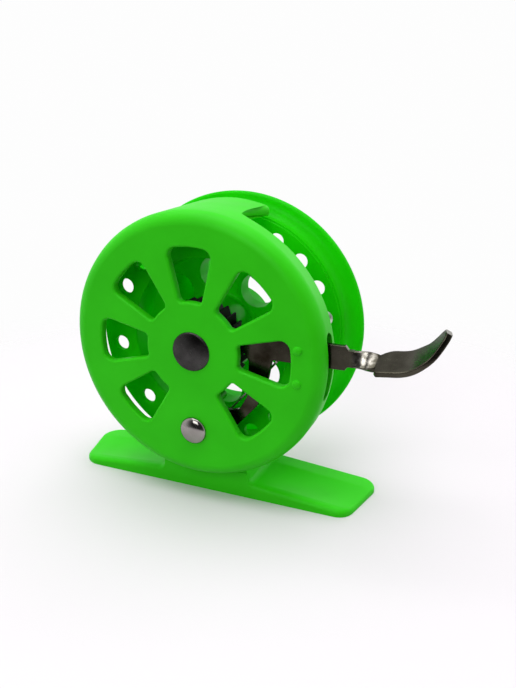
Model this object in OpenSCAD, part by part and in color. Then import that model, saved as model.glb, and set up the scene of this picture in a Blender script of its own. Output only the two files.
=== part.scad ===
// Trigger fishing reel: a windowed housing on a foot, a spool on a spindle, and a sprung lever
// whose pawl faces the ratchet gear on the spool's hub.
// Seen from the front, X runs right, Z up and depth runs along +Y.
// The origin is at the middle of the foot's base. Depths are measured back from the housing's face.

/* [Layout] */
// Height of the spool's axis over the foot's base
axis_h = 36.3; // [35.5:0.1:38]
// Distance from the housing's face back to the middle of the foot
face_to_foot = 13.6; // [13:0.1:14.5]
// Turning clearance between a shaft and its bore
shaft_gap = 0.05; // [0.02:0.01:0.08]
// End clearance between pieces that turn on each other
end_gap = 0.1; // [0.05:0.01:0.2]
// Fit of a pressed or riveted shank in its hole
seat_gap = 0.02; // [0.01:0.01:0.03]

/* [Housing] */
// Outer radius of the housing
housing_r = 30; // [29.5:0.1:30.5]
// Thickness of the face
plate_t = 2.2; // [2:0.1:2.3]
// Thickness of the side wall, hood and bridge
wall_t = 2.2; // [1.8:0.1:2.4]
// Depth of the side wall
wall_depth = 7.2; // [7:0.1:8]
// Radius of the rounded front shoulder
shoulder_r = 3; // [2.6:0.1:3.2]
// Step between neighbouring windows, degrees
window_step = 45; // [45:1:45]
// Inner radius of the windows
window_in_r = 10.9; // [10:0.1:11.5]
// Distance from the windows' outer edge to the housing's edge
window_margin = 7.4; // [7:0.1:8.5]
// Half of a window's angle, degrees
window_half = 13.8; // [12:0.1:15]
// Radius of a window's outer corners
window_corner = 2; // [1.5:0.1:2.2]
// Radius of a window's inner corners
window_inner_corner = 1; // [0.8:0.1:1.2]
// Where the hood's right edge runs, right of the axis
hood_right_x = 7.2; // [6:0.1:8]
// How far the hood's right edge flares out towards the rear
hood_flare = 2.6; // [2:0.1:3]
// Where the hood's left edge runs, over the axis
hood_left_z = 12.2; // [11:0.1:14]
// Width of the curve from the hood's edge to the wall's edge
hood_curve_w = 8.5; // [7:0.1:9]
// Depth of the curve from the hood's edge to the wall's edge
hood_curve_d = 4.2; // [3.5:0.1:5]
// Radius of the hood's rear corners
hood_corner = 1.6; // [1:0.1:2]
// Upper end of the trigger's slot, degrees over the axis
slot_top = 13; // [12:0.5:15]
// Lower end of the trigger's slot, degrees under the axis
slot_bottom = 16; // [15.5:0.5:18]
// Depth at which the trigger's slot begins
slot_front = 2.5; // [2.4:0.1:2.6]
// Width of the trigger's slot along the depth
slot_w = 3.1; // [2.9:0.1:3.2]
// Radius of the two moulded pips beside the right window
pip_r = 0.95; // [0.7:0.05:1.1]
// Distance from the pips' middle to the housing's edge
pip_margin = 5.6; // [5:0.1:5.8]
// Angle of the upper pip over the axis, degrees
pip_high = 8.1; // [6:0.1:10]
// Angle of the lower pip under the axis, degrees
pip_low = 9; // [7:0.1:11]
// Height of the pips
pip_h = 0.5; // [0.3:0.05:0.6]

/* [Foot] */
// Length of the foot's rear edge, before its corners are rounded
foot_len = 76.6; // [72:0.1:80]
// Width of the foot
foot_w = 17; // [15:0.1:17.5]
// How much shorter each end of the foot is at the front edge than at the rear edge
foot_slant = 3.8; // [2.5:0.1:4.5]
// Width of the pedestal under the bridge
pedestal_w = 21.4; // [19:0.1:23]
// Thickness of the wings beside the pedestal
wing_root_t = 3.4; // [3:0.1:3.6]
// Thickness of the wings at their ends
wing_tip_t = 1.2; // [1:0.1:1.6]
// Radius of the foot's corners
foot_corner = 3.6; // [3:0.1:4.5]
// Radius between the pedestal and the wings
foot_fillet = 2.2; // [1.5:0.1:2.3]
// Radius of the trough along each wing's top
trough_r = 26; // [22:0.5:30]
// Depth of the trough in the wing's top
trough_depth = 0.55; // [0.3:0.05:0.7]
// Shift of the trough to the front of the foot
trough_shift = 1.2; // [0.5:0.1:1.5]

/* [Spindle] */
// Radius of the spindle's journal
spindle_r = 2.5; // [2.3:0.1:2.7]
// Radius of the spindle's conical head
spindle_head_r = 4.4; // [4.2:0.1:4.6]
// Height of the head's cone
spindle_cone_h = 0.8; // [0.5:0.05:1]
// Height of the head's straight rim
spindle_rim_h = 0.35; // [0.2:0.05:0.5]
// Radius of the collar that holds the spindle behind the face
collar_r = 5; // [4.6:0.1:5.4]
// Thickness of that collar
collar_t = 0.6; // [0.5:0.05:0.7]
// Thickness of the front thrust washer
front_washer_t = 0.4; // [0.3:0.05:0.45]
// Radius of the front thrust washer
front_washer_r = 4.6; // [4.3:0.1:4.8]
// Thickness of the rear thrust washer
rear_washer_t = 0.5; // [0.4:0.05:0.8]
// Radius of the rear thrust washer
rear_washer_r = 5; // [4.5:0.1:5.5]
// Radius of the retaining screw's shank
screw_r = 1.5; // [1.3:0.05:1.6]
// Length of the screw in the spindle
screw_len = 9; // [7:0.5:12]
// Radius of the screw's head
screw_head_r = 3.6; // [3.2:0.1:4]
// Height of the screw's head
screw_head_h = 1.9; // [1.6:0.1:2.2]
// Width of the screw's slot
screw_slot_w = 0.9; // [0.7:0.05:1.1]

/* [Spool] */
// Gap between the wall's rear edge and the front flange
flange_gap = 1; // [0.8:0.1:1.4]
// Clearance between the front flange's edge and the hood
flange_clear = 0.5; // [0.4:0.05:0.7]
// Thickness of both flanges
flange_t = 1.5; // [1.3:0.1:1.8]
// Width of the line's groove between the flanges
groove_w = 13.4; // [12:0.1:14]
// Depth of the line's groove, from the front flange's edge down to the arbor
groove_depth = 7.1; // [6.7:0.1:7.3]
// Thickness of the arbor's wall
arbor_t = 1.5; // [1.3:0.1:1.7]
// Number of small holes in each flange
flange_holes = 20; // [20:1:20]
// Radius of the small holes
flange_hole_r = 1.75; // [1.6:0.05:1.9]
// Shift of the small holes' circle inwards from the middle of the groove's depth
ring_shift = 0.65; // [0.4:0.05:0.8]
// Number of large holes in the web
web_holes = 8; // [6:1:8]
// Rim left between the web's large holes and the hub or the arbor
web_rim = 0.85; // [0.7:0.05:1]
// Angle of the web's first large hole, degrees
web_phase = 5; // [4:0.5:6]
// Angle of the first small hole in both flanges, degrees
hole_phase = 9; // [9:1:9]
// Thickness of the web
web_t = 5; // [4.5:0.1:5.5]
// Recess of the web in the rear face
web_recess = 4.6; // [4.2:0.1:5]
// Wall thickness of the moulded cup that closes one of the web's large holes
cup_wall = 1; // [0.8:0.1:1.2]
// How far that cup stands out behind the rear flange
cup_len = 7.4; // [6:0.1:8]
// Radius of the hub
hub_r = 9.2; // [8.9:0.1:9.4]
// Depth of the hub's shoulder behind the gear
hub_step = 4.5; // [4.3:0.1:4.8]
// Step of the rear flange's crown inside the front flange's radius
crown_step = 0.3; // [0.2:0.05:0.4]
// How far the rear rim stands out past the housing
rim_over = 1; // [0.6:0.1:1.4]
// Radius of the rim's hollow front curve
rim_cove = 2.8; // [2.2:0.1:3]
// Depth from the rear flange to the rim's lip
rim_drop = 3.2; // [3.1:0.1:3.6]
// Thickness of the rim's lip
lip_t = 1.7; // [1.6:0.1:2.2]
// Length of each bush
bush_len = 4.2; // [3.5:0.1:5]
// Wall thickness of each bush
bush_t = 1.35; // [1:0.05:1.5]

/* [Gear and trigger] */
// Number of ratchet teeth
gear_teeth = 30; // [28:1:34]
// Radius over the tooth tips
gear_tip_r = 10.3; // [10:0.1:10.4]
// Height of the teeth
tooth_h = 1.2; // [1:0.05:1.4]
// Radius of the gear's bore on the hub's spigot
gear_bore_r = 5.2; // [5:0.1:5.4]
// Clearance between the pawl's nose and the tooth tips
pawl_gap = 0.4; // [0.35:0.05:0.6]
// Distance of the pivot rivet under the spool's axis
pivot_drop = 18.6; // [18.2:0.1:19]
// Thickness of the lever's sheet
lever_t = 1.2; // [1.1:0.05:1.3]
// Height of the middle of the pawl's nose over the axis
pawl_z = 1.1; // [0.9:0.1:1.3]
// Width of the pawl's nose
pawl_w = 1.2; // [1:0.1:1.4]
// Inner edge of the lever's upright arm, right of the axis
arm_x = 11.8; // [11.6:0.1:12.2]
// Width of the lever's upright arm
arm_w = 4.6; // [4.3:0.1:4.8]
// Drop of the arm's lower bend under the axis
arm_drop = 11.8; // [11.5:0.1:12.1]
// Radius of the lever's eye
eye_r = 4.2; // [3.9:0.1:4.4]
// Lower edge of the lever's main strip, over the axis
strip_low = -0.7; // [-1:0.1:-0.5]
// Upper edge of the lever's main strip, over the axis
strip_high = 4.5; // [4.2:0.1:4.7]
// Width of the lever's neck outside the wall
neck_w = 3.6; // [3.2:0.1:4]
// Reach of the strip's shoulder outside the wall
shoulder_reach = 3; // [2.8:0.1:3.3]
// Largest width of the thumb plate
thumb_w = 7.5; // [7:0.1:8]
// Width of the thumb plate at its tip
thumb_tip_w = 1.8; // [1.5:0.1:2.4]
// Thickness of the thumb plate
thumb_t = 1.3; // [1.2:0.05:1.4]
// Tilt of the thumb plate to the front, degrees
thumb_tilt = 17; // [12:1:22]
// Radius of the pivot rivet's shank
rivet_r = 1.6; // [1.5:0.05:1.7]
// Radius of the pivot rivet's domed head
rivet_head_r = 3.15; // [2.9:0.05:3.3]
// Height of the rivet's dome
rivet_dome_h = 1.4; // [1.1:0.05:1.7]
// Radius of the rivet's formed tail
rivet_tail_r = 2.8; // [2.7:0.05:3]
// Thickness of the rivet's formed tail
rivet_tail_t = 0.5; // [0.4:0.05:0.55]
// Wall thickness of the bush in the lever's eye
pivot_bush_t = 0.8; // [0.6:0.05:1]
// Radius of the moulded boss behind the face, around the rivet
boss_r = 3.6; // [3.3:0.1:4]
// Thickness of the washer behind the lever
rivet_washer_t = 0.4; // [0.3:0.05:0.45]
// Wire diameter of the return spring
wire_d = 0.5; // [0.4:0.05:0.55]
// Gap between the spring's curls
curl_gap = 0.45; // [0.42:0.01:0.48]
// Number of curls
curls = 1.5; // [1.5:0.5:1.5]
// Radius of the spring's curls at the wire's middle
coil_r = 2.4; // [2.3:0.05:2.5]
// Distance of the spring's hook from the arm's outer edge
hook_reach = 1.8; // [1.7:0.1:2]
// Length of the spring's bend into the hook
hook_bend = 0.8; // [0.6:0.05:0.9]
// Length of the spring's fixed leg
fixed_leg = 8.6; // [8:0.1:8.8]
// Radius of the moulded post that holds the fixed leg
post_r = 0.9; // [0.8:0.05:1]

/* [Winding knob] */
// Largest radius of the knob
knob_r = 4.2; // [3.8:0.1:4.5]
// Clearance between the knob's stem and the rim's inner wall
stem_clear = 0.35; // [0.3:0.05:0.5]
// Share of the knob's length taken by its stem
stem_share = 0.12; // [0.1:0.01:0.15]
// Length of the knob
knob_len = 12; // [10:0.5:13]
// Radius of the pin inside the knob
pin_r = 1.2; // [1.1:0.05:1.3]
// Radius of the pin's domed head
pin_head_r = 1.8; // [1.7:0.05:2.1]
// Height of the pin's domed head
pin_head_h = 0.7; // [0.5:0.05:0.8]
// Thickness of the washer under the knob
knob_washer_t = 0.5; // [0.4:0.05:0.7]
// Radius of the cap on the pin's end
cap_r = 2.2; // [1.9:0.1:2.3]
// Thickness of the cap on the pin's end
cap_t = 0.9; // [0.7:0.05:1.2]

/* [Hidden] */
$fn = 96;
cut = 1;
arc_steps = 6;

green = "limegreen";
steel = "lightgray";
dark_steel = "dimgray";
brass = "goldenrod";

// Depths through the reel, from the housing's face back
hub_front = plate_t + collar_t + front_washer_t + end_gap;
gear_rear = hub_front + hub_step;
flange_front = wall_depth + flange_gap;
rear_flange = flange_front + flange_t + groove_w;
rear_face = rear_flange + flange_t;
web_rear = rear_face - web_recess;
web_front = web_rear - web_t;
lip_front = rear_flange + rim_drop;
lip_rear = lip_front + lip_t;
hood_end = rear_flange - end_gap;
spindle_end = rear_face + end_gap;
lever_mid = slot_front + slot_w / 2;
lever_front = lever_mid - lever_t / 2;
lever_rear = lever_mid + lever_t / 2;
washer_front = lever_rear + end_gap;
coil_front = washer_front + rivet_washer_t + end_gap + wire_d / 2;
coil_rear = coil_front + curls * (wire_d + curl_gap);
tail_front = coil_rear + wire_d / 2 + end_gap;
knob_front = rear_face + knob_washer_t + end_gap;
cap_front = knob_front + knob_len + end_gap;
foot_front = face_to_foot - foot_w / 2;
foot_rear = face_to_foot + foot_w / 2;

// Radii and heights that follow from the sizes above
inner_r = housing_r - wall_t;
window_out_r = housing_r - window_margin;
pip_ring_r = housing_r - pip_margin;
flange_r = inner_r - flange_clear;
rim_r = housing_r + rim_over;
crown_r = flange_r - crown_step;
arbor_r = flange_r - groove_depth;
arbor_in = arbor_r - arbor_t;
flange_ring_r = (arbor_r + flange_r) / 2 - ring_shift;
web_ring_r = (hub_r + arbor_in) / 2;
web_hole_r = (arbor_in - hub_r) / 2 - web_rim;
hook_x = arm_x + arm_w + hook_reach;
bush_seat_r = spindle_r + shaft_gap + bush_t;
pivot_bush_r = rivet_r + shaft_gap + pivot_bush_t;
seat_h = axis_h - housing_r;
strip_mid = (strip_low + strip_high) / 2;
shoulder_x = housing_r + shoulder_reach;
rim_in_r = crown_r - flange_t;
knob_stem_r = rim_in_r - flange_ring_r - stem_clear;
cup_r = web_hole_r + cup_wall;
cup_end = rear_face + cup_len;
cup_place = 3;
cup_angle = web_phase + cup_place * 360 / web_holes;
groove_mid = (flange_front + rear_flange) / 2;
knob_x = flange_ring_r * cos(hole_phase);
knob_z = flange_ring_r * sin(hole_phase);

// Places a shape drawn in the front view at a depth; its own Z points to the front
module face(depth) {
    translate([0, depth - face_to_foot, axis_h]) rotate([90, 0, 0]) children();
}

// Extrudes a front view outline from one depth to another
module slab(front, rear) {
    face(rear) linear_extrude(rear - front) children();
}

// Turns a half outline of [radius, depth] points about the spool's axis
module turned(points) {
    face(0) rotate_extrude() polygon([for (p = points) [p[0], -p[1]]]);
}

// Same, about the pivot rivet
module turned_at_pivot(points) {
    translate([0, 0, -pivot_drop]) turned(points);
}

// Same, about the knob's pin
module turned_at_knob(points) {
    translate([knob_x, 0, knob_z]) turned(points);
}

function unit(v) = v / norm(v);

// Arc of a circle, from one angle to another
function arc(centre, r, from, to, steps = arc_steps) =
    [for (i = [0:steps]) let (a = from + (to - from) * i / steps) centre + r * [cos(a), sin(a)]];

// One corner of an outline, rounded by its own radius
function corner_arc(before, p, after) =
    let (
        here = [p[0], p[1]],
        u = unit([before[0], before[1]] - here),
        v = unit([after[0], after[1]] - here),
        half = acos(u * v) / 2,
        centre = here + unit(u + v) * p[2] / sin(half),
        start = here + u * p[2] / tan(half) - centre,
        end = here + v * p[2] / tan(half) - centre,
        a = atan2(start[1], start[0]),
        turn = atan2(end[1], end[0]) - a,
        sweep = turn > 180 ? turn - 360 : turn < -180 ? turn + 360 : turn
    )
    p[2] == 0 ? [here] : arc(centre, p[2], a, a + sweep);

// Outline of [x, y, corner radius] points with every corner rounded
function rounded(points) =
    let (n = len(points))
    [for (i = [0:n - 1]) each corner_arc(points[(i + n - 1) % n], points[i], points[(i + 1) % n])];

// Outline of a window: a ring's sector with rounded corners, centred on +X
function sector(r0, r1, half, corner0, corner1) =
    let (
        a0 = half - asin(corner0 / (r0 + corner0)),
        a1 = half - asin(corner1 / (r1 - corner1)),
        c0 = (r0 + corner0) * [cos(a0), sin(a0)],
        c1 = (r1 - corner1) * [cos(a1), sin(a1)]
    )
    concat(
        arc([0, 0], r1, -a1, a1),
        arc(c1, corner1, a1, half + 90),
        arc(c0, corner0, half + 90, a0 + 180),
        arc([0, 0], r0, a0, -a0),
        arc([c0[0], -c0[1]], corner0, 180 - a0, 270 - half),
        arc([c1[0], -c1[1]], corner1, -half - 90, -a1)
    );

// Solid through a row of rings that have the same number of points
module skin(rings) {
    n = len(rings);
    m = len(rings[0]);
    sides = [for (i = [0:n - 2], j = [0:m - 1]) let (k = (j + 1) % m)
        each [[i * m + j, i * m + k, (i + 1) * m + k], [i * m + j, (i + 1) * m + k, (i + 1) * m + j]]];
    first = [for (j = [1:m - 2]) [0, j + 1, j]];
    last = [for (j = [1:m - 2]) [(n - 1) * m, (n - 1) * m + j, (n - 1) * m + j + 1]];
    polyhedron([for (r = rings) each r], concat(sides, first, last));
}

// Sideways directions carried along a path without twisting
function carried(tangents, side, i = 0, out = []) =
    i == len(tangents) ? out :
    let (s = unit(side - (side * tangents[i]) * tangents[i]))
    carried(tangents, s, i + 1, concat(out, [s]));

// Round tube along a path
module tube(path, d, sides = 6) {
    last = len(path) - 1;
    tangents = [for (i = [0:last]) unit(path[min(i + 1, last)] - path[max(i - 1, 0)])];
    across = carried(tangents, [0, 0, 1]);
    skin([for (i = [0:last]) let (b = cross(tangents[i], across[i]))
        [for (j = [0:sides - 1]) let (a = -360 * j / sides)
            path[i] + d / 2 * (cos(a) * across[i] + sin(a) * b)]]);
}

// Plain washer about the spool's axis, the rivet or the knob's pin
function ring_points(bore, r, front, t) =
    [[bore, front], [r, front], [r, front + t], [bore, front + t]];

// Half outline of the face and the side wall
function shell_points() =
    let (inner_fillet = max(0.4, shoulder_r - wall_t + 0.5))
    rounded([
        [0, 0, 0], [housing_r, 0, shoulder_r], [housing_r, wall_depth, 0.5],
        [inner_r, wall_depth, 0.3], [inner_r, plate_t, inner_fillet], [0, plate_t, 0]]);

// Plan outline of the hood's right half, with the curve into the wall's edge
function hood_plan() =
    let (curve_end = wall_depth + hood_curve_d, from = wall_depth - cut)
    concat(
        [[-housing_r, from], [hood_right_x + hood_curve_w, from],
            [hood_right_x + hood_curve_w, wall_depth]],
        [for (i = [1:8]) let (a = 90 * i / 8)
            [hood_right_x + hood_curve_w * (1 - sin(a)), curve_end - hood_curve_d * cos(a)]],
        [for (i = [1:5]) let (t = i / 6)
            [hood_right_x + hood_flare * t * t, curve_end + (hood_end - hood_corner - curve_end) * t]],
        arc([hood_right_x + hood_flare - hood_corner, hood_end - hood_corner], hood_corner, 0, 90),
        [[-housing_r, hood_end]]
    );

// Side outline of the hood's left edge, as [height, depth]
function hood_side() =
    let (curve_end = wall_depth + hood_curve_d, from = wall_depth - cut, foot = hood_left_z - hood_curve_w)
    concat(
        [[housing_r + cut, hood_end], [housing_r + cut, from], [foot, from], [foot, wall_depth]],
        [for (i = [1:8]) let (a = 90 * i / 8)
            [hood_left_z - hood_curve_w * (1 - sin(a)), curve_end - hood_curve_d * cos(a)]],
        arc([hood_left_z + hood_corner, hood_end - hood_corner], hood_corner, 180, 90)
    );

// Curved cover over the top of the spool
module hood() {
    intersection() {
        turned(ring_points(inner_r, housing_r, wall_depth - cut, hood_end - wall_depth + cut));
        translate([0, -face_to_foot, axis_h]) linear_extrude(housing_r + cut) polygon(hood_plan());
        translate([-housing_r - cut, -face_to_foot, axis_h])
            rotate([0, 90, 0]) linear_extrude(2 * housing_r)
                polygon([for (p = hood_side()) [-p[0], p[1]]]);
    }
}

// Block under the spool that joins the side wall to the foot's pedestal
module bridge() {
    difference() {
        slab(foot_front, foot_rear)
            translate([-pedestal_w / 2, -housing_r]) square([pedestal_w, housing_r / 2]);
        face(foot_rear + cut) cylinder(r = inner_r, h = foot_w + 2 * cut);
    }
}

module window_cut(angle) {
    slab(-cut, plate_t + cut) rotate(angle)
        polygon(sector(window_in_r, window_out_r, window_half, window_inner_corner, window_corner));
}

// Slot in the right side of the wall, with round ends, in which the trigger travels
module slot_cut() {
    low = -housing_r * sin(slot_bottom);
    high = housing_r * sin(slot_top);
    end_r = slot_w / 2;
    translate([housing_r / 2, slot_front + end_r - face_to_foot, axis_h]) rotate([90, 0, 90])
        linear_extrude(housing_r) polygon(concat(
            arc([0, high - end_r], end_r, 0, 180),
            arc([0, low + end_r], end_r, 180, 360)));
}

// Where the spring's fixed leg lies against its post
function fixed_leg_dir() = [cos(leg_angle() + 90), sin(leg_angle() + 90)];

// Angle at which the long leg leaves the coil, seen from the front
function leg_angle() =
    let (reach = hook_point() - [0, -pivot_drop])
    atan2(reach[1], reach[0]) - acos(coil_r / norm(reach));

// Point under the lever's strip that the spring's hook pushes up
function hook_point() = [hook_x, strip_low - wire_d / 2 - end_gap];

// Start of the coil, where the fixed leg meets it
function coil_start() = [0, -pivot_drop] + coil_r * [cos(leg_angle() + 180), sin(leg_angle() + 180)];

module spring_post() {
    side = [fixed_leg_dir()[1], -fixed_leg_dir()[0]];
    at = coil_start() + (fixed_leg - post_r) * fixed_leg_dir() + (post_r + wire_d / 2 + end_gap) * side;
    slab(plate_t - cut / 2, coil_rear + wire_d) translate(at) circle(post_r);
}

module housing() {
    color(green) difference() {
        union() {
            turned(shell_points());
            hood();
            bridge();
            spring_post();
            slab(plate_t - cut / 2, lever_front - end_gap) translate([0, -pivot_drop]) circle(boss_r);
            for (a = [pip_high, -pip_low])
                slab(-pip_h, cut) rotate(a) translate([pip_ring_r, 0]) circle(pip_r);
        }
        for (i = [-2:4]) window_cut(i * window_step + (i < -1 ? -window_step : 0));
        slot_cut();
        face(plate_t + cut) cylinder(r = spindle_r + seat_gap, h = plate_t + 2 * cut);
        translate([0, 0, -pivot_drop]) face(lever_front)
            cylinder(r = rivet_r + seat_gap, h = lever_front + cut);
    }
}

// Front view outline of the foot, from the base up
function foot_points() =
    let (half = pedestal_w / 2, end = foot_len / 2, root = half + foot_fillet)
    concat(
        [[-end, 0], [end, 0], [end, wing_tip_t]],
        [[root, wing_root_t]],
        arc([root, wing_root_t + foot_fillet], foot_fillet, 270, 180),
        [[half, seat_h], [-half, seat_h]],
        arc([-root, wing_root_t + foot_fillet], foot_fillet, 360, 270),
        [[-end, wing_tip_t]]
    );

// Shallow trough along a wing's sloping top
module trough() {
    run = foot_len / 2 - pedestal_w / 2 - foot_fillet;
    slope = atan((wing_root_t - wing_tip_t) / run);
    start = pedestal_w / 2 + foot_fillet;
    translate([start, -trough_shift, wing_root_t]) rotate([0, 90 + slope, 0])
        translate([-trough_r + trough_depth, 0, 0]) cylinder(r = trough_r, h = run + foot_fillet);
}

module foot() {
    rear_x = foot_len / 2;
    front_x = rear_x - foot_slant;
    plan = rounded([
        [-front_x, -foot_w / 2, foot_corner], [front_x, -foot_w / 2, foot_corner],
        [rear_x, foot_w / 2, foot_corner], [-rear_x, foot_w / 2, foot_corner]]);
    color(green) difference() {
        intersection() {
            translate([0, foot_w / 2, 0]) rotate([90, 0, 0]) linear_extrude(foot_w) polygon(foot_points());
            linear_extrude(axis_h) polygon(plan);
        }
        trough();
        mirror([1, 0, 0]) trough();
    }
}

module spindle() {
    color(dark_steel) difference() {
        turned([[0, -spindle_rim_h - spindle_cone_h], [spindle_head_r - 0.3, -spindle_rim_h - 0.15],
            [spindle_head_r, -spindle_rim_h], [spindle_head_r, 0], [spindle_r, 0],
            [spindle_r, spindle_end], [0, spindle_end]]);
        face(spindle_end + cut) cylinder(r = screw_r + seat_gap, h = screw_len + 2 * cut);
    }
}

module spindle_collar() {
    color(steel) turned(ring_points(spindle_r + seat_gap, collar_r, plate_t, collar_t));
}

module front_washer() {
    bore = spindle_r + shaft_gap;
    color("ivory") turned(ring_points(bore, front_washer_r, plate_t + collar_t, front_washer_t));
}

module rear_washer() {
    color(steel) turned(ring_points(screw_r + shaft_gap, rear_washer_r, spindle_end, rear_washer_t));
}

module retaining_screw() {
    head = spindle_end + rear_washer_t;
    top = head + screw_head_h;
    color(steel) difference() {
        turned(concat(
            [[0, spindle_end - screw_len], [screw_r - 0.3, spindle_end - screw_len],
                [screw_r, spindle_end - screw_len + 0.3], [screw_r, head], [screw_head_r, head]],
            [for (i = [0:6]) let (a = 15 * i)
                [screw_head_r * cos(a), head + 0.4 + (screw_head_h - 0.4) * sin(a)]]));
        slab(top - 0.8, top + cut) square([2 * screw_head_r + cut, screw_slot_w], center = true);
    }
}

module pivot_rivet() {
    dome = [for (i = [0:8]) let (a = 90 * i / 8) [rivet_head_r * sin(a), -rivet_dome_h * cos(a)]];
    color(steel) turned_at_pivot(concat(dome, [
        [rivet_r, 0], [rivet_r, tail_front], [rivet_tail_r, tail_front],
        [rivet_tail_r, tail_front + rivet_tail_t / 2], [rivet_tail_r - 0.3, tail_front + rivet_tail_t],
        [0, tail_front + rivet_tail_t]]));
}

module rivet_washer() {
    bore = rivet_r + seat_gap;
    color(steel) turned_at_pivot(ring_points(bore, rivet_tail_r, washer_front, rivet_washer_t));
}

// Route of the spring's wire, from the fixed leg round the coil to the hook under the lever
function spring_path() =
    let (
        start = coil_start(),
        steps = 8 * curls,
        first = leg_angle() - 360 * curls,
        leave = [0, -pivot_drop] + coil_r * [cos(leg_angle()), sin(leg_angle())],
        hook = hook_point(),
        lead = unit(hook - leave),
        tip = lever_front + lever_t / 4
    )
    concat(
        [for (s = [fixed_leg, fixed_leg / 2]) spring_point(start + s * fixed_leg_dir(), coil_rear)],
        [for (i = [0:steps]) let (a = first + 360 * curls * i / steps)
            spring_point([0, -pivot_drop] + coil_r * [cos(a), sin(a)],
                coil_rear + (coil_front - coil_rear) * i / steps)],
        [spring_point((leave + hook) / 2, coil_front), spring_point(hook - hook_bend * lead, coil_front),
            spring_point(hook, coil_front - hook_bend), spring_point(hook, tip)]
    );

function spring_point(p, depth) = [p[0], depth - face_to_foot, axis_h + p[1]];

// Least gap between the curls, measured on the route's points
function least_gap(path) =
    min([for (i = [0:len(path) - 1], j = [i + 6:1:len(path) - 1]) norm(path[i] - path[j])]) - wire_d;

module return_spring() {
    echo(spring_gap = least_gap(spring_path()));
    color(steel) tube(spring_path(), wire_d);
}

// Half outline of the spool, from the hub's spigot round the flanges and the rim
function spool_points() =
    let (relief = bush_seat_r - 0.7)
    rounded([
        [bush_seat_r, hub_front, 0], [gear_bore_r, hub_front, 0.2], [gear_bore_r, gear_rear, 0],
        [hub_r, gear_rear, 0.8], [hub_r, web_front, 0.8], [arbor_in, web_front, 0.8],
        [arbor_in, flange_front, 0.4], [flange_r, flange_front, 0.5],
        [flange_r, flange_front + flange_t, 0.5],
        [arbor_r, flange_front + flange_t, 0.6], [arbor_r, rear_flange, 0.6],
        [crown_r - 0.5, rear_flange, 0.15], [crown_r - 0.5, rear_flange + 0.3, 0.1],
        [crown_r, rear_flange + 0.3, 0.1], [crown_r, lip_front, rim_cove],
        [rim_r, lip_front, 0.75], [rim_r, lip_rear, 0.75],
        [rim_in_r, lip_rear, rim_cove], [rim_in_r, rear_face, 0.2],
        [arbor_in, rear_face, 0.4], [arbor_in, web_rear, 0.6], [hub_r, web_rear, 0.6],
        [hub_r, rear_face, 0.4],
        [bush_seat_r, rear_face, 0], [bush_seat_r, rear_face - bush_len, 0],
        [relief, rear_face - bush_len, 0], [relief, hub_front + bush_len, 0],
        [bush_seat_r, hub_front + bush_len, 0]]);

// Outside of the cup behind the web, as a half outline about its own middle
function cup_points() =
    rounded([[0, web_rear - cut, 0], [cup_r, web_rear - cut, 0], [cup_r, cup_end, 1.2], [0, cup_end, 0]]);

// The first hole of the rear flange is narrow and holds the knob's pin
module spool() {
    color(green) difference() {
        union() {
            turned(spool_points());
            rotate_about_axis(cup_angle) translate([web_ring_r, 0, 0]) turned(cup_points(), $fn = 48);
        }
        for (i = [0:flange_holes - 1]) rotate_about_axis(hole_phase + i * 360 / flange_holes)
            slab(flange_front - cut, i == 0 ? groove_mid : rear_face + cut)
                translate([flange_ring_r, 0]) circle(flange_hole_r);
        slab(groove_mid, rear_face + cut) translate([knob_x, knob_z]) circle(pin_r + seat_gap);
        for (i = [0:web_holes - 1]) rotate_about_axis(web_phase + i * 360 / web_holes)
            slab(web_front - cut, i == cup_place ? cup_end - cup_wall : web_rear + cut)
                translate([web_ring_r, 0]) circle(web_hole_r);
    }
}

// Turns a shape about the spool's axis, anticlockwise seen from the front
module rotate_about_axis(angle) {
    translate([0, 0, axis_h]) rotate([0, -angle, 0]) translate([0, 0, -axis_h]) children();
}

module ratchet_gear() {
    pitch = 360 / gear_teeth;
    root = gear_tip_r - tooth_h;
    teeth = [for (i = [0:gear_teeth - 1]) let (a = i * pitch) each [
        root * [cos(a), sin(a)],
        gear_tip_r * [cos(a + 0.78 * pitch), sin(a + 0.78 * pitch)],
        gear_tip_r * [cos(a + 0.94 * pitch), sin(a + 0.94 * pitch)]]];
    color("black") slab(hub_front, gear_rear) difference() {
        polygon(teeth);
        circle(gear_bore_r + seat_gap);
    }
}

module front_bush() {
    color(brass) turned(ring_points(spindle_r + shaft_gap, bush_seat_r - seat_gap, hub_front, bush_len));
}

module rear_bush() {
    bore = spindle_r + shaft_gap;
    color(brass) turned(ring_points(bore, bush_seat_r - seat_gap, rear_face - bush_len, bush_len));
}

module knob_pin() {
    end = cap_front + cap_t * 0.6;
    dome = [for (i = [0:6]) let (a = 15 * i) [pin_head_r * sin(a), rear_flange - pin_head_h * cos(a)]];
    color(steel) turned_at_knob(concat(dome, [[pin_r, rear_flange], [pin_r, end], [0, end]]));
}

module knob_washer() {
    color(steel) turned_at_knob(ring_points(pin_r + seat_gap, knob_stem_r, rear_face, knob_washer_t));
}

module knob_cap() {
    bore = pin_r + seat_gap;
    floor_at = cap_front + cap_t * 0.6 + seat_gap;
    color(steel) turned_at_knob([
        [bore, cap_front], [cap_r, cap_front], [cap_r, cap_front + cap_t - 0.3],
        [cap_r - 0.3, cap_front + cap_t], [0, cap_front + cap_t], [0, floor_at], [bore, floor_at]]);
}

// Point on the knob's side, at a share of its length: a stem that swells to a pear
function knob_side(t) =
    [knob_stem_r + (knob_r - knob_stem_r) * sin(180 * (t - stem_share)), knob_front + (knob_len - 0.4) * t];

module winding_knob() {
    bore = pin_r + shaft_gap;
    end = knob_front + knob_len;
    side = [for (i = [0:16]) knob_side(stem_share + (1 - stem_share) * i / 16)];
    color("black") turned_at_knob(concat([[bore, knob_front], [knob_stem_r, knob_front]], side,
        [[side[16][0] - 0.5, end], [bore, end]]));
}

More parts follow.
